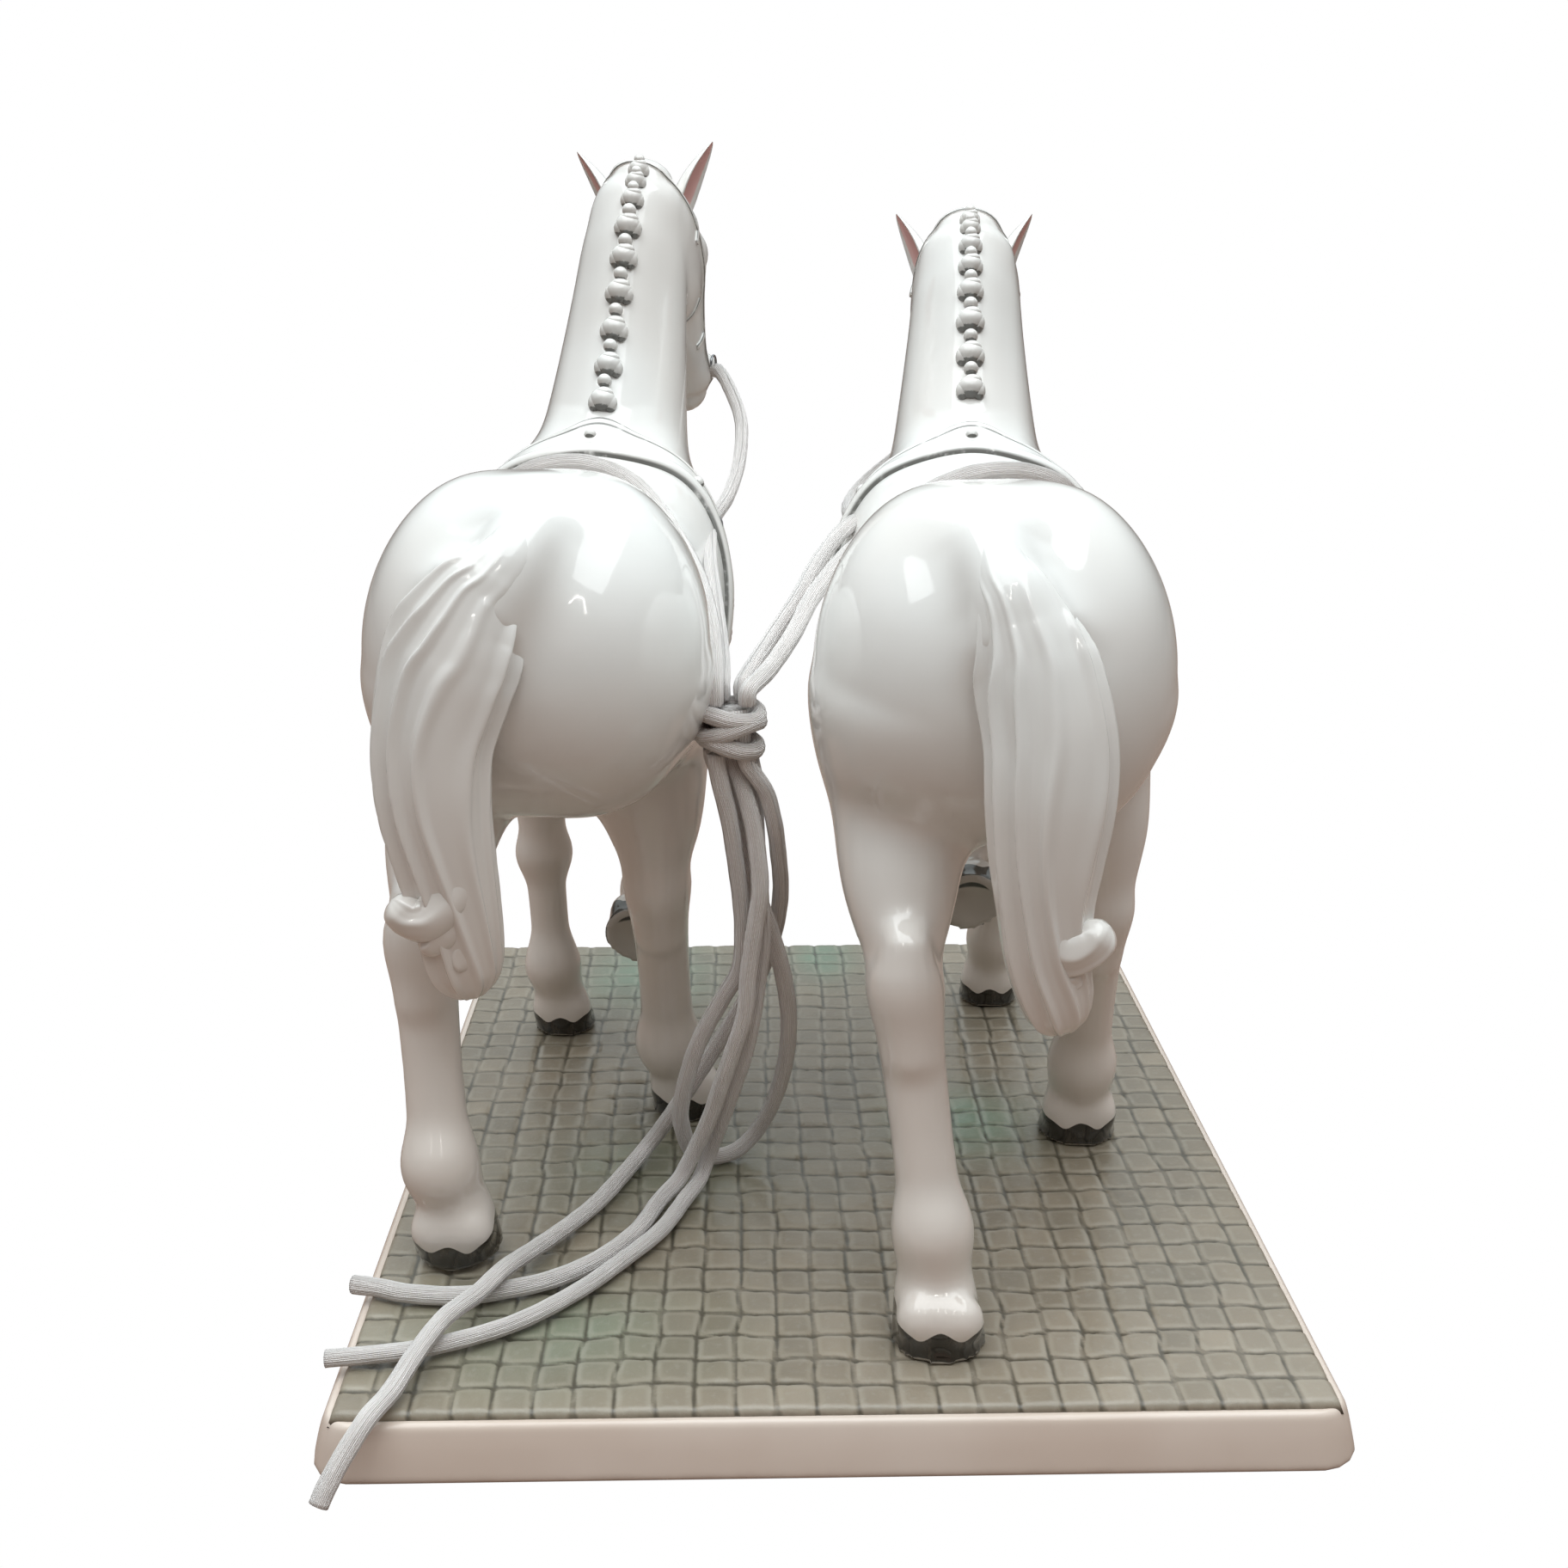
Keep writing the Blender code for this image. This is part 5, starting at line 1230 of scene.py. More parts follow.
def build_paving():
    """The set stones, a height field over the slab.

    The slab is ruled into stones by two warped coordinates. A stone's height is a pillow,
    (1 - |u|^5) * (1 - |v|^5) to the power 0.34, with its own lift and tilt, and the whole falls away
    over the rim, where the stones' ends are rounded.
    """
    width, length = PAVING_SIZE
    columns, rows = ((216, 272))
    s, t = np.meshgrid(np.linspace(-1, 1, columns), np.linspace(-1, 1, rows), indexing="ij")
    x, y = s * width / 2, t * length / 2
    # Which stone each point is on, and its place on that stone from -1 to 1.
    warp_x = (value_noise(x * 110, y * 110, 1) - 0.5) * 0.16 + 0.10 * np.sin(y * 34 + 1)
    warp_y = (value_noise(x * 110, y * 110, 2) - 0.5) * 0.20 + 0.10 * np.sin(x * 40)
    edge = np.minimum(1, (1 - np.maximum(np.abs(s), np.abs(t))) * 9)
    across = (s + 1) / 2 * STONES[0] + warp_x * edge
    down = (t + 1) / 2 * STONES[1] + warp_y * edge
    i = np.clip(np.floor(across), 0, STONES[0] - 1)
    j = np.clip(np.floor(down), 0, STONES[1] - 1)
    down = down + (value_noise(i * 3.7, j * 0 + 5, 9) - 0.5) * 0.22 * edge
    j = np.clip(np.floor(down), 0, STONES[1] - 1)
    u, v = (across - i) * 2 - 1, (down - j) * 2 - 1
    # The stones' heights, and the rim.
    pillow = np.maximum(1 - np.abs(u) ** 5, 0) * np.maximum(1 - np.abs(v) ** 5, 0)
    dice = value_noise(i * 1.7 + 0.5, j * 1.3 + 0.5, 5)
    dice_b = value_noise(i * 2.3 + 0.5, j * 1.9 + 0.5, 6)
    height = pillow ** 0.34 * (0.0011 + 0.0003 * dice)
    height += (u * (dice - 0.5) + v * (dice_b - 0.5)) * 0.0003 * pillow
    height += (value_noise(x * 900, y * 900, 3) - 0.5) * 0.00010
    rim = np.minimum(width / 2 - np.abs(x), length / 2 - np.abs(y))
    fall = np.clip(1 - rim / 0.0022, 0, 1)
    top = PAVING_TOP - 0.0014 + height - 0.0022 * fall ** 2.2
    grid = np.stack([x, y, top], -1)
    reach = np.array((width / 2, length / 2))
    scallop = (1 - pillow ** 0.5) * 0.0006
    push = np.sign(grid[..., :2]) * (np.abs(grid[..., :2]) > reach * 0.9999) * (0.0004 - scallop[..., None])
    grid[..., :2] += push
    surface = grid.reshape(-1, 3)
    # What the glaze reads: joints, green washes, warmer stones at the back edge, and each stone's tone.
    joint = np.minimum(1 - np.abs(u), 1 - np.abs(v))
    patch = sum(depth * np.exp(-(((x - right) / wide) ** 2 + ((y - ahead) / long) ** 2))
                for right, ahead, wide, long, depth in GREEN_WASHES)
    green = np.clip(patch * (0.55 + 0.8 * dice), 0, 1)
    warm = np.clip((-y - 0.04) * 6 * (0.4 + dice_b), 0, 1) + 0.25 * dice_b
    tone = np.clip(0.75 * dice + 0.25 * value_noise(x * 260, y * 260, 4), 0, 1)
    # The slab's walls and underside.
    count = columns * rows
    border = np.concatenate([
        np.arange(columns) * rows, (columns - 1) * rows + np.arange(1, rows),
        np.arange(columns - 2, -1, -1) * rows + rows - 1, np.arange(rows - 2, 0, -1),
    ])
    skirt = surface[border].copy()
    skirt[:, :2] *= 0.988
    skirt[:, 2] = PAVING_TOP - 0.0045
    points = np.concatenate([surface, skirt, [[0, 0, PAVING_TOP - 0.0045]]])
    around = np.arange(len(border))
    after = (around + 1) % len(border)
    walls = np.stack([border[around], border[after], count + after, count + around], 1)
    under = np.stack([np.full(len(border), count + len(border)), count + around, count + after], 1)
    faces = [np.concatenate([grid_faces(columns, rows, wrap_columns=False)[:, ::-1], walls[:, ::-1]]),
             under[:, ::-1]]
    extra = np.zeros(len(border) + 1)

    def spread(values):
        return np.concatenate([np.asarray(values, float).ravel(), extra])

    fields = {"tone": spread(tone), "joint": spread(joint), "green": spread(green),
              "warm": spread(np.clip(warm, 0, 1))}
    add_mesh("cobbled_paving", points, faces, material("cobbles"), fields=fields,
             nodes=["cobble_paving"])


def build_pads():
    """Four felt pads, each a low disc with a soft edge."""
    bodies, nodes = [], []
    angle = np.linspace(0, 2 * math.pi, 48, endpoint=False)
    for label in ("front_left", "front_right", "back_left", "back_right"):
        low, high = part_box("pad_" + label)
        middle, radius, tall = node_middle("pad_" + label), (high.x - low.x) / 2, high.z
        profile = ((0.94, 0.0), (0.99, tall * 0.15), (1.0, tall * 0.5), (0.99, tall * 0.85), (0.94, tall))
        spokes = np.stack([np.cos(angle), np.sin(angle)], 1) * radius
        rings = [np.column_stack([middle[:2] + spokes * share, np.full(48, height)])
                 for share, height in profile]
        bodies.append(capped(np.array(rings)))
        nodes.append("pad_" + label)
    points, faces = joined(bodies)
    add_mesh("felt_pads", points, faces, material("pad"), nodes=nodes)


# ------------------------------------------------------------------------ the horses' pieces

def build_skin(name):
    """The horse's castings as one glazed skin."""
    form = horse_form(name)
    SKINS[name] = form
    points, faces = form.skin(1.7)
    places, raised = foot_places(name, points)
    pose = POSES[name]
    eye = np.full(len(points), 5.0)
    local = (points - np.array(pose["poll"], float)) @ head_turn(pose)
    for hand in (-1, 1):
        off = (local - np.multiply(EYE_PLACE, (hand, 1, 1))) / EYE_SIZE
        eye = np.minimum(eye, (np.linalg.norm(off, axis=1) - 1) * 1.5)
    nodes = [name + "_" + part for part in ("barrel", "neck_and_head") + LEGS]
    add_mesh(name + "_horse_skin", to_world(name, points), faces, material("skin"),
             fields={"foot": places, "raised": raised, "eye": eye}, nodes=nodes)


def lock(rings, ridges, depth, sway, sides=120):
    """A lock of hair: elliptic rings along a path, with ridges that wander round it.

    A ring's radius is multiplied by 1 + depth * ((0.5 + 0.5 * cos(p))^3 - 0.3), where p is the ridges
    times the angle plus a slow wave along the path. Both ends close along a quarter circle.
    """
    rings = curve_through(rings, 14)
    along = unit(np.gradient(rings[:, :3], axis=0))
    rise = unit(np.array((0, -1.0, 0)) + along * along[:, 1:2])
    side = np.cross(rise, along)
    share = np.linspace(0, 1, len(rings))[:, None]
    angle = np.linspace(0, 2 * math.pi, sides, endpoint=False)[None]
    wave = sway * (np.sin(share * 6.5 + np.sin(angle)) + 0.45 * np.sin(share * 12 + 2 * angle))
    ridge = (0.5 + 0.5 * np.cos(ridges * angle + wave + 1.1 * np.sin(3 * angle))) ** 3 - 0.3
    ridge = ridge * (0.7 + 0.3 * np.sin(2 * angle + 1.1 + 3 * share)) * np.clip(share / 0.35, 0, 1) ** 1.5
    length = np.linalg.norm(np.diff(rings[:, :3], axis=0), axis=1).sum()
    first, last = 0.9 * rings[0, 3] / length, 1.2 * rings[-1, 3] / length
    close = np.sqrt(1 - np.clip(1 - share / first, 0, 1) ** 2)
    close = close * np.sqrt(1 - np.clip(1 - (1 - share) / last, 0, 1) ** 2)
    radius = np.maximum(close, 0.02) * (1 + depth * ridge)
    grid = rings[:, None, :3] + side[:, None] * (rings[:, 3:4] * radius * np.cos(angle))[..., None]
    return capped(grid + rise[:, None] * (rings[:, 4:5] * radius * np.sin(angle))[..., None])


def build_tail(name):
    """The tail: one long body of flowing strands, and three locks that flick out of it."""
    pose = POSES[name]
    bodies = [lock(pose["tail"], 10, 0.24, 2.3, sides=160)]
    for number, rings in enumerate(pose["locks"]):
        bodies.append(lock(rings, 5, 0.13, 0.7 + 0.3 * number, sides=72))
    points, faces = joined(bodies)
    add_mesh(name + "_tail_strands", to_world(name, points), faces, material("tail"),
             nodes=[name + "_tail"])


def build_ears(name):
    """Two cupped ears.

    An ear's ring at a share of its length is a crescent: its outer arc is a half ellipse, and its inner
    arc the same half ellipse at 0.55 of the depth. It opens outward and back.
    """
    for label, hand, (base, tip) in zip(("left", "right"), (-1, 1), POSES[name]["ears"]):
        base, tip = np.array(base, float), np.array(tip, float)
        axis = unit(tip - base)
        base = base - axis * 2.5
        length = np.linalg.norm(tip - base)
        toward = np.array((hand * 0.95, -0.09, 0.2))
        toward = unit(toward - axis * (toward @ axis))
        side = np.cross(axis, toward)
        share = np.linspace(0, 1, 40)
        wide = 7.2 * np.sin(np.pi * np.clip(0.16 + 0.84 * share, 0, 1) ** 0.82) ** 0.75 + 0.35
        deep = wide * (0.85 - 0.35 * share)
        bend = toward * (1.6 * np.sin(share * math.pi))[:, None] * -1.0
        angle = np.linspace(0, 2 * math.pi, 40, endpoint=False)
        arc = np.sin(angle)
        inner = arc > 0
        lift = np.where(inner, -0.50 * arc, -np.abs(arc))
        rows = base + axis * (share * length)[:, None] + bend
        grid = rows[:, None] + side * (wide[:, None] * np.cos(angle))[..., None]
        grid = grid + toward * (deep[:, None] * lift + 0.30 * wide[:, None])[..., None]
        points, faces = capped(grid)
        inside = np.where(inner, arc, -0.5)[None] * np.clip((share[:, None] - 0.12) * 8, 0, 1)
        inside = np.concatenate([inside.ravel(), [0, 0]])
        add_mesh(name + "_ear_cupped_" + label, to_world(name, points), faces, material("ear"),
                 fields={"inside": inside}, nodes=[name + "_ear_" + label])


def knobs(middles, outs, ups, sizes, rows=14, columns=20):
    """Rounded knobs, each with its own half width, half height and half depth, and their local places."""
    turn = np.linspace(0, 2 * math.pi, columns, endpoint=False)
    rise = np.linspace(-math.pi / 2, math.pi / 2, rows + 2)[1:-1]
    ring = np.stack([
        np.cos(rise)[:, None] * np.cos(turn), np.cos(rise)[:, None] * np.sin(turn),
        np.broadcast_to(np.sin(rise)[:, None], (rows, columns)),
    ], -1)
    ball, faces = capped(ring)
    ball[-2:] = ((0, 0, -1), (0, 0, 1))
    bodies, local = [], []
    for middle, out, up, size in zip(middles, outs, ups, sizes):
        side = unit(np.cross(up, out))
        shape = ball * np.array(size)
        bodies.append((middle + shape @ np.stack([side, up, out]), faces))
        local.append(ball)
    points, faces = joined(bodies)
    return points, faces, np.concatenate(local)


def build_mane(name):
    """The plaits: rolled knobs with a flap at each side, and a small round turn above each."""
    pose = POSES[name]
    share = np.array(pose["plaits"])
    crest, back, along = crest_line(pose["poll"], share)
    crest = SKINS[name].leave(crest - back * 12, back, 30.0)
    gaps = np.linalg.norm(np.diff(crest, axis=0), axis=1)
    gaps = np.append(gaps, gaps[-1])
    middles, outs, ups, sizes = [], [], [], []
    for number, gap in enumerate(gaps):
        out, up = back[number], along[number]
        side = unit(np.cross(up, out))
        small = min(1.0, 0.42 + gap / 18)
        parts = (
            (0, 0, 1.1, 4.2, 3.9, 3.9), (-2.5, -0.9, 0.5, 2.3, 3.3, 3.0), (2.5, -0.9, 0.5, 2.3, 3.3, 3.0),
            (0.4, 2.0, 1.9, 3.1, 2.1, 2.7), (0, gap * 0.46 / small, 1.5, 2.4, 2.4, 3.0),
        )
        for x, y, z, wide, tall, deep in parts:
            middles.append(crest[number] + (side * x + up * y + out * z) * small)
            outs.append(out)
            ups.append(up)
            sizes.append((wide * small, tall * small, deep * small))
    points, faces, local = knobs(middles, outs, ups, sizes)
    add_mesh(name + "_mane_rolls", to_world(name, points), faces, material("mane"), fields={"local": local},
             nodes=[name + "_mane_plaits"])


def loop_strap(form, hub, first, second, width, heights, span=(0.0, 360.0), count=220, reach=110.0, sink=0.7,
               back=0.0):
    """A strap laid on the skin round a hub, in the plane of two directions.

    Rays go out at each angle of the span, at each share of the width, and the strap stands on the skin
    where they leave it, as high as its profile says. Its underside is sunk a little below the skin.
    The strap is carried backward by `back` times the fourth power of how far up the ray points.
    """
    first, second = unit(first), unit(second)
    normal = np.cross(first, second)
    whole = span[1] - span[0] >= 359.9
    angle = np.radians(np.linspace(span[0], span[1], count, endpoint=not whole))
    out = first * np.cos(angle)[:, None] + second * np.sin(angle)[:, None]
    shares = np.linspace(0, 1, len(heights))
    offset = normal * ((shares - 0.5) * width)[:, None]
    carried = back * np.maximum(np.sin(angle), 0) ** 4
    start = np.array(hub, float) + offset[None] - normal * carried[:, None, None]
    landed = form.leave(start, np.broadcast_to(out[:, None], start.shape), reach)
    slope = unit(form.slope(landed))
    top = landed + slope * np.array(heights)[None, :, None]
    low = landed - slope * sink
    grid = np.concatenate([top, low[:, ::-1]], 1)
    columns = grid.shape[1]
    across = np.concatenate([shares, shares[::-1]])
    uv = np.stack(np.broadcast_arrays(np.linspace(0, 1, count)[:, None], across[None]), -1).reshape(-1, 2)
    if whole:
        return grid.reshape(-1, 3), [grid_faces(count, columns, wrap_rows=True)], uv
    points, faces = capped(grid)
    return points, faces, np.concatenate([uv, uv[:1], uv[-1:]])


def lean_vector():
    """The girth plane's upward direction."""
    lean = math.radians(GIRTH_LEAN)
    return np.array((0, math.sin(lean), math.cos(lean)))


def build_girth(name, width):
    """The girth: a thick rounded back roll, a flat middle with studs and a thin raised front edge."""
    up = lean_vector()
    hub = np.array(GIRTH_MIDDLE, float) - up * GIRTH_HUB_DROP
    share = np.linspace(0, 1, 41)
    heights = 0.75 + 0.5 * np.exp(-((share - 0.93) / 0.04) ** 2) + 1.5 * np.sqrt(np.clip(
        1 - ((share - 0.20) / 0.17) ** 2, 0, 1))
    heights[0], heights[1], heights[-1] = 0.05, 0.5, 0.1
    points, faces, uv = loop_strap(SKINS[name], hub, (-1, 0, 0), up, width, heights, reach=100, count=320,
                                   back=POSES[name]["girth_back"])
    add_mesh(name + "_girth_band", to_world(name, points), faces, material("girth"), uv,
             nodes=[name + "_girth"])


def stud_places(form, starts, aims, lift):
    """Where studs stand: where rays from inside leave the skin, and its outward direction there."""
    landed = form.leave(np.array(starts, float), np.array(aims, float))
    slope = unit(form.slope(landed))
    return landed + slope * lift, slope


def build_breast_strap(name, width):
    """The breast strap: ridged edges and a scalloped lower border, from girth to girth round the chest."""
    share = np.linspace(0, 1, 27)
    heights = 0.8 + 0.45 * (np.exp(-((share - 0.10) / 0.035) ** 2) + np.exp(-((share - 0.22) / 0.03) ** 2))
    heights += 0.45 * (np.exp(-((share - 0.78) / 0.03) ** 2) + np.exp(-((share - 0.90) / 0.035) ** 2))
    heights[0] = heights[-1] = 0.05
    hub = (0, BREAST_HUB, BREAST_HEIGHT)
    points, faces, uv = loop_strap(SKINS[name], hub, (1, 0, 0), (0, 1, 0), width, heights,
                                   span=(-25.0, 205.0), reach=100)
    add_mesh(name + "_breast_band", to_world(name, points), faces, material("breast"), uv,
             nodes=[name + "_breast_strap"])


def build_studs(name):
    """The bright domed studs of the girth and the breast strap."""
    form = SKINS[name]
    up, side = lean_vector(), np.array((1.0, 0, 0))
    ahead = np.cross(up, side)
    ahead = ahead if ahead[1] > 0 else -ahead
    hub = np.array(GIRTH_MIDDLE, float) - up * GIRTH_HUB_DROP
    starts, aims = [], []
    for angle in np.radians(GIRTH_STUD_ANGLES):
        starts.append(hub + ahead * (2.2 - POSES[name]["girth_back"] * math.cos(angle) ** 4))
        aims.append(up * math.cos(angle) + side * math.sin(angle))
    for angle in np.radians(BREAST_STUD_TURNS):
        starts.append(np.array((0, BREAST_HUB, BREAST_HEIGHT)))
        aims.append(np.array((math.sin(angle), math.cos(angle), 0)))
    places, outs = stud_places(form, starts, aims, 0.7)
    ups = unit(np.array((0, 0.2, 1.0)) - outs * (outs @ np.array((0, 0.2, 1.0)))[:, None])
    points, faces, local = knobs(places, outs, ups, [STUD_SIZE] * len(places))
    add_mesh(name + "_studs", to_world(name, points), faces, material("stud"), fields={"local": local})


def build_bridle(name):
    """The bridle: cheek pieces from the poll to the mouth, a browband, a throat lash and a noseband."""
    form, pose = SKINS[name], POSES[name]
    turn = head_turn(pose)
    bodies, uvs = [], []
    share = np.linspace(0, 1, 9)
    heights = 0.75 * np.sqrt(np.clip(1 - (2 * share - 1) ** 4, 0, 1)) + 0.05
    loops = (
        ((0, 18, -31), (0, 0.43, -0.9), 2.4, (0, 360), 58),
        ((0, 27, -53), (0, 0.88, 0.47), 2.6, (-35, 215), 26),
        ((0, 8, -12), (0, 0.8, 0.6), 2.2, (-15, 195), 42),
        ((0, 12, -30), (0, -0.35, -0.94), 1.8, (20, 160), 34),
    )
    for middle, lead, width, span, reach in loops:
        first, second = turn @ np.array((1.0, 0, 0)), turn @ np.array(lead)
        points, faces, uv = loop_strap(form, in_head(pose, middle), first, second, width, heights, span=span,
                                       reach=reach, count=160)
        bodies.append((points, faces))
        uvs.append(uv)
    points, faces = joined(bodies)
    add_mesh(name + "_bridle_straps", to_world(name, points), faces, material("bridle"),
             np.concatenate(uvs), nodes=[name + "_bridle"])


def ring_body(middle, normal, radius, wire):
    """A wire ring as a torus."""
    side = unit(np.cross(normal, (0.31, 0.2, 0.93)))
    rise = np.cross(normal, side)
    turn = np.linspace(0, 2 * math.pi, 64, endpoint=False)
    around = np.linspace(0, 2 * math.pi, 14, endpoint=False)
    spoke = side * np.cos(turn)[:, None] + rise * np.sin(turn)[:, None]
    path = np.array(middle) + spoke * radius
    grid = path[:, None] + (spoke[:, None] * np.cos(around)[None, :, None]
                            + normal * np.sin(around)[None, :, None]) * wire
    return grid.reshape(-1, 3), [grid_faces(64, 14, wrap_rows=True)]


def build_rings(name):
    """The terret rings and bit rings, each where its frame node stands."""
    bodies, nodes = [], []
    normals = {"terret": (0, 1, 0), "bit_ring": head_turn(POSES[name]) @ np.array((1.0, 0, 0))}
    for side in ("left", "right"):
        for kind, normal in normals.items():
            node = name + "_" + kind + "_" + side
            bodies.append(ring_body(node_middle(node), facing(name, normal), RING_RADIUS[kind], WIRE_RADIUS))
            nodes.append(node)
    points, faces = joined(bodies)
    add_mesh(name + "_wire_rings", points, faces, material("wire"), nodes=nodes)


# ------------------------------------------------------------------------ the stage

# The camera's place from the plinth's middle, and its turn in degrees.
CAMERA_PLACE = (-0.021, -0.51695, 0.2918)
CAMERA_TURN = (72.91, 0.0, -1.2)


def build_camera(settings):
    """The camera, low behind the pair and looking slightly down on it."""
    data = bpy.data.cameras.new("camera")
    data.lens = settings.lens
    data.sensor_width = 36.0
    camera = bpy.data.objects.new("camera", data)
    camera.location = np.array(CAMERA_PLACE) - (0, GROUP_MIDDLE, 0)
    camera.rotation_euler = [math.radians(angle) for angle in CAMERA_TURN]
    bpy.context.scene.collection.objects.link(camera)
    bpy.context.scene.camera = camera


def area_light(name, place, target, size, power, colour):
    """A soft square lamp aimed at a point."""
    data = bpy.data.lights.new(name, "AREA")
    data.shape = "RECTANGLE"
    data.size, data.size_y = size
    data.energy = power
    data.color = colour
    lamp = bpy.data.objects.new(name, data)
    lamp.location = place
    lamp.rotation_euler = (Vector(target) - Vector(place)).to_track_quat("-Z", "Y").to_euler()
    bpy.context.scene.collection.objects.link(lamp)


def build_table():
    """A pale table that the camera sees as white."""
    floor = bpy.data.meshes.new("table")
    floor.from_pydata([(-4, -4, 0), (4, -4, 0), (4, 4, 0), (-4, 4, 0)], [], [(0, 1, 2, 3)])
    table = bpy.data.objects.new("table", floor)
    bpy.context.scene.collection.objects.link(table)
    look = material_nodes("table_pale")
    look.shade({"Base Color": (0.26, 0.175, 0.135, 1), "Roughness": 0.7})
    seen = look.add("ShaderNodeLightPath").outputs["Is Camera Ray"]
    glow = look.add("ShaderNodeEmission", {"Strength": 1.0})
    blend = look.add("ShaderNodeMixShader", {0: seen, 1: look.shader.outputs[0], 2: glow.outputs[0]})
    look.put(look.tree.nodes["Material Output"].inputs["Surface"], blend.outputs[0])
    floor.materials.append(look.holder)


def build_world():
    """A room that the camera sees as white: cool and pale above, warm and dark below and behind."""
    sky = Nodes(bpy.data.worlds.new("studio"))
    bpy.context.scene.world = sky.holder
    sky.tree.nodes.clear()
    _, ahead, up = sky.parts(sky.coordinates("Generated"))
    ramp = sky.add("ShaderNodeValToRGB", {0: up * 0.62 + (ahead * 0.14 + 0.34)})
    ramp.color_ramp.interpolation = "EASE"
    ramp.color_ramp.elements.new(0.45)
    stops = ((0.12, (0.07, 0.048, 0.038, 1)), (0.45, (0.105, 0.072, 0.057, 1)), (0.78, (0.86, 0.94, 0.95, 1)))
    for element, (place, colour) in zip(ramp.color_ramp.elements, stops):
        element.position, element.color = place, colour
    seen = sky.add("ShaderNodeLightPath").outputs["Is Camera Ray"]
    shown = sky.mix(seen, ramp.outputs[0], (1, 1, 1, 1))
    back = sky.add("ShaderNodeBackground", {"Color": shown, "Strength": 1.0})
    sky.add("ShaderNodeOutputWorld", {"Surface": back.outputs[0]})


def build_stage(settings):
    """The table, the room and soft light, cool from above, with two thin tubes behind the camera."""
    bpy.context.scene.view_settings.view_transform = "Standard"
    build_table()
    build_world()
    power, middle, tube, warm = settings.key_power, (0, 0, 0.15), (0.012, 0.5), (1.0, 0.97, 0.92)
    area_light("overhead", (-0.02, -0.12, 1.10), middle, (1.3, 1.2), power, (0.94, 0.985, 1.0))
    area_light("tube_left", (-0.42, -1.05, 1.15), middle, tube, power * 0.05, warm)
    area_light("tube_right", (0.30, -1.10, 1.20), middle, tube, power * 0.05, warm)


# ------------------------------------------------------------------------ the add-on

def colour_property(name, description, default):
    """A colour that the sidebar shows."""
    return bpy.props.FloatVectorProperty(
        name=name, description=description, default=default, size=4, min=0.0, max=1.0, subtype="COLOR")


class DrivingPairSettings(bpy.types.PropertyGroup):
    """What can be changed from the sidebar."""

    glaze: colour_property("Glaze", "Colour of the white porcelain", WHITE)
    hoof: colour_property("Hooves", "Colour of the painted hooves", HOOF)
    cord: colour_property("Cord", "Colour of the satin cord where it shines", CORD_SHINE)
    stones: colour_property("Stones", "Colour of the palest paving stones", STONE_PALE)
    girth_width: bpy.props.FloatProperty(
        name="Girth width", description="Width of the girths", default=0.014, min=0.004, unit="LENGTH")
    breast_width: bpy.props.FloatProperty(
        name="Breast strap width", description="Width of the breast straps", default=0.017, min=0.004,
        unit="LENGTH")
    lens: bpy.props.FloatProperty(
        name="Lens", description="Focal length of the camera", default=40.5, min=10.0, unit="CAMERA")
    key_power: bpy.props.FloatProperty(
        name="Key power", description="Power of the overhead light", default=11.0, min=0.0, unit="POWER")


class PAIR_OT_camera(bpy.types.Operator):
    """Add the camera."""

    bl_idname = "driving_pair.camera"
    bl_label = "Camera"

    def execute(self, context):
        build_camera(context.scene.driving_pair)
        return {"FINISHED"}


class PAIR_OT_reins(bpy.types.Operator):
    """Add the satin reins."""

    bl_idname = "driving_pair.reins"
    bl_label = "Reins"

    def execute(self, context):
        build_reins()
        return {"FINISHED"}


class PAIR_OT_knots(bpy.types.Operator):
    """Add the knot of the reins."""

    bl_idname = "driving_pair.knots"
    bl_label = "Knot"

    def execute(self, context):
        build_knot()
        return {"FINISHED"}


class PAIR_OT_base(bpy.types.Operator):
    """Add the plinth, its paving and its pads."""

    bl_idname = "driving_pair.base"
    bl_label = "Plinth and paving"

    def execute(self, context):
        build_plinth()
        build_paving()
        build_pads()
        return {"FINISHED"}


class PAIR_OT_skins(bpy.types.Operator):
    """Add the skins of the two horses."""

    bl_idname = "driving_pair.skins"
    bl_label = "Horses"

    def execute(self, context):
        for name in POSES:
            build_skin(name)
        return {"FINISHED"}


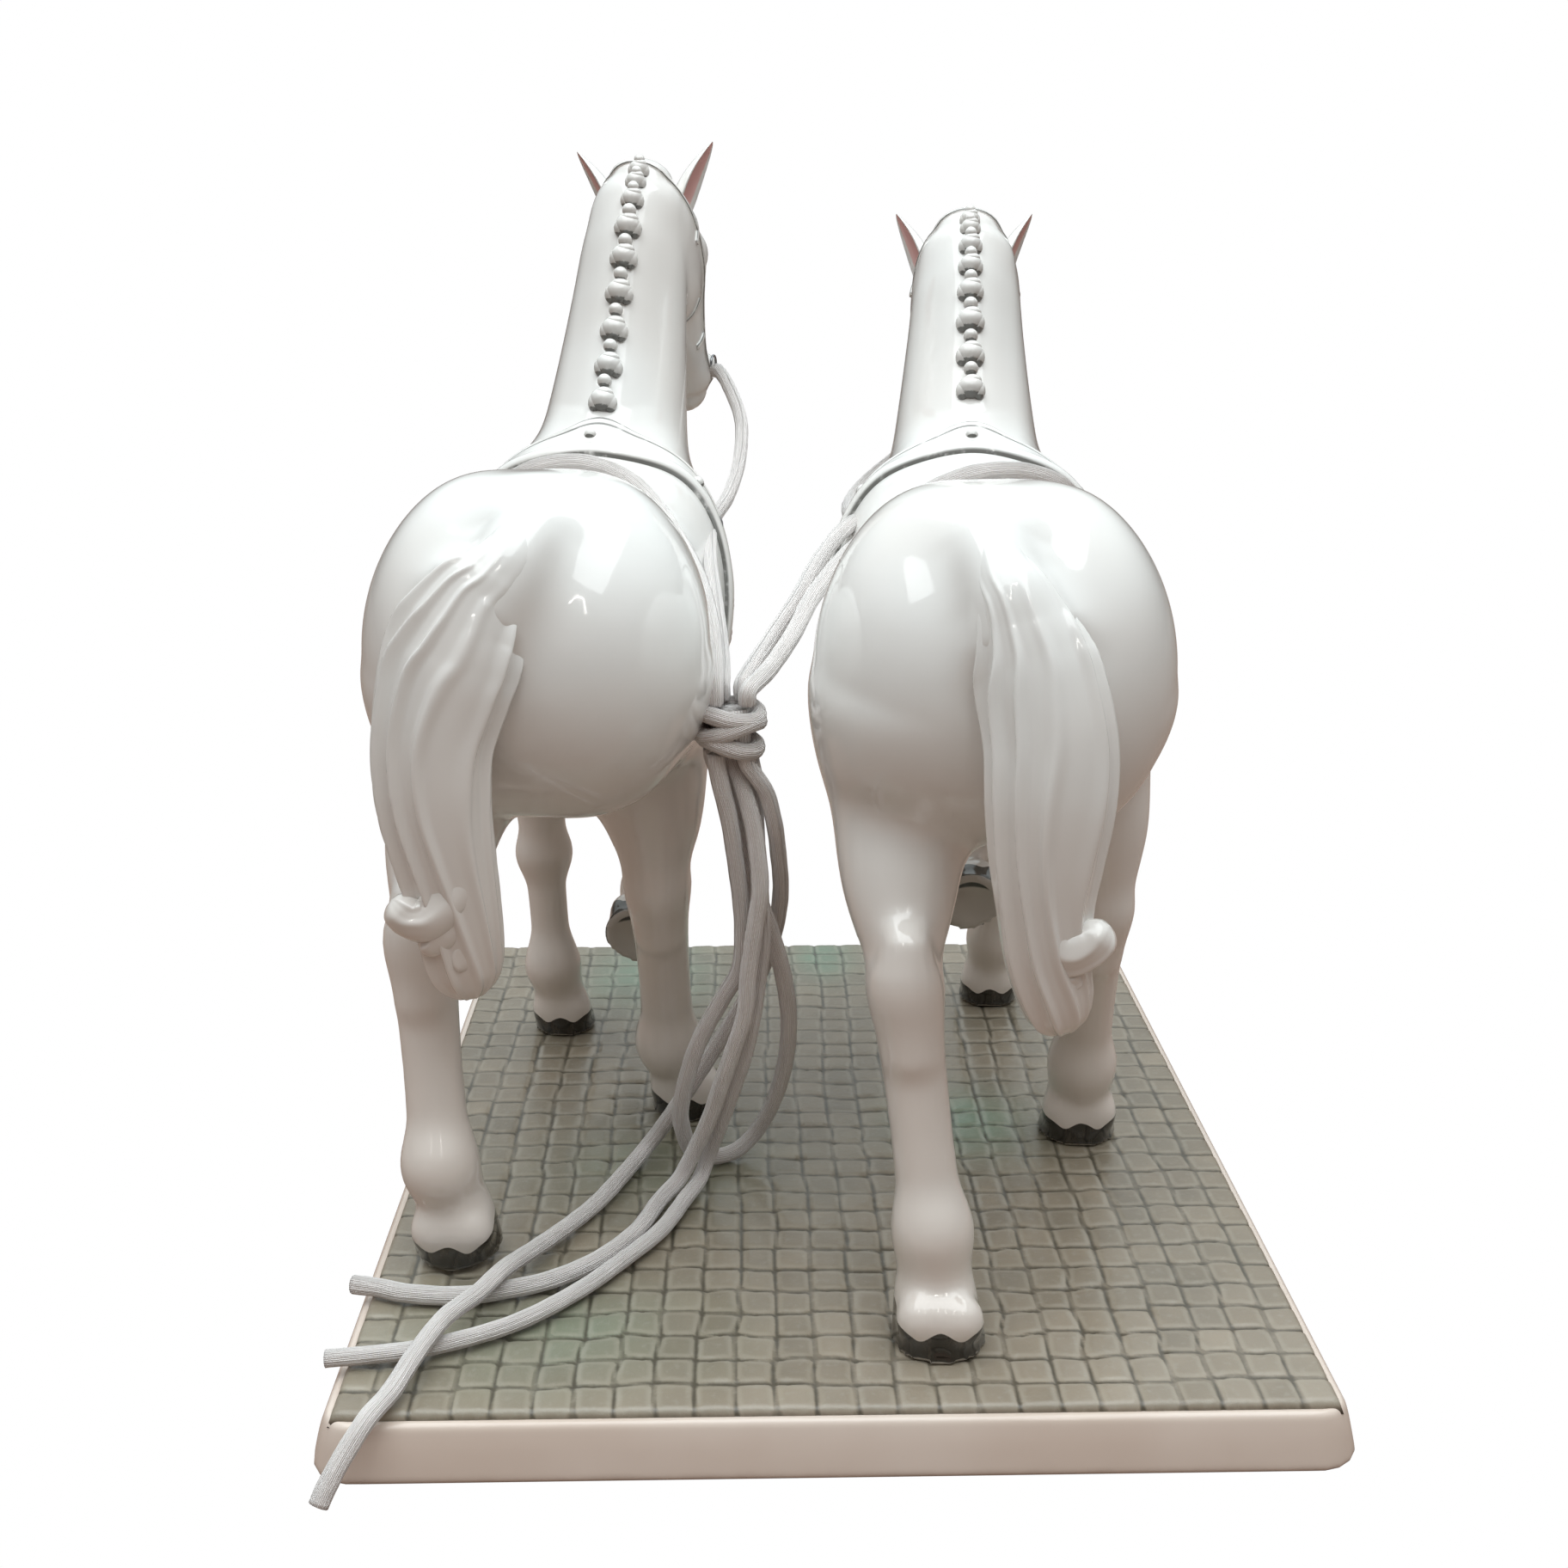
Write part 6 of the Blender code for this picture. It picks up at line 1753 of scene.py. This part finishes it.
class PAIR_OT_tails(bpy.types.Operator):
    """Add the tails and ears."""

    bl_idname = "driving_pair.tails"
    bl_label = "Tails and ears"

    def execute(self, context):
        for name in POSES:
            build_tail(name)
            build_ears(name)
        return {"FINISHED"}


class PAIR_OT_manes(bpy.types.Operator):
    """Add the plaited manes."""

    bl_idname = "driving_pair.manes"
    bl_label = "Manes"

    def execute(self, context):
        for name in POSES:
            build_mane(name)
        return {"FINISHED"}


class PAIR_OT_harness(bpy.types.Operator):
    """Add the harness and its rings."""

    bl_idname = "driving_pair.harness"
    bl_label = "Harness"

    def execute(self, context):
        settings = context.scene.driving_pair
        for name in POSES:
            build_girth(name, settings.girth_width * 1000)
            build_breast_strap(name, settings.breast_width * 1000)
            build_studs(name)
            build_bridle(name)
            build_rings(name)
        return {"FINISHED"}


class PAIR_OT_stage(bpy.types.Operator):
    """Add the table, the background and the light."""

    bl_idname = "driving_pair.stage"
    bl_label = "Stage"

    def execute(self, context):
        build_stage(context.scene.driving_pair)
        return {"FINISHED"}


STEPS = (
    PAIR_OT_camera, PAIR_OT_reins, PAIR_OT_knots, PAIR_OT_base, PAIR_OT_skins, PAIR_OT_tails,
    PAIR_OT_manes, PAIR_OT_harness, PAIR_OT_stage,
)


class PAIR_PT_sidebar(bpy.types.Panel):
    """The build's steps and settings."""

    bl_label = "Driving pair"
    bl_idname = "PAIR_PT_sidebar"
    bl_space_type = "VIEW_3D"
    bl_region_type = "UI"
    bl_category = "Driving pair"

    def draw(self, context):
        settings = context.scene.driving_pair
        for label in DrivingPairSettings.__annotations__:
            self.layout.prop(settings, label)
        for step in STEPS:
            self.layout.operator(step.bl_idname)


CLASSES = (DrivingPairSettings,) + STEPS + (PAIR_PT_sidebar,)


def register():
    for item in CLASSES:
        bpy.utils.register_class(item)
    bpy.types.Scene.driving_pair = bpy.props.PointerProperty(type=DrivingPairSettings)


def unregister():
    del bpy.types.Scene.driving_pair
    for item in reversed(CLASSES):
        bpy.utils.unregister_class(item)


def main():
    """Register the add-on and run its steps in order."""
    register()
    for step in STEPS:
        group, action = step.bl_idname.split(".")
        getattr(getattr(bpy.ops, group), action)()
    bpy.context.view_layer.update()


if __name__ == "__main__":
    main()
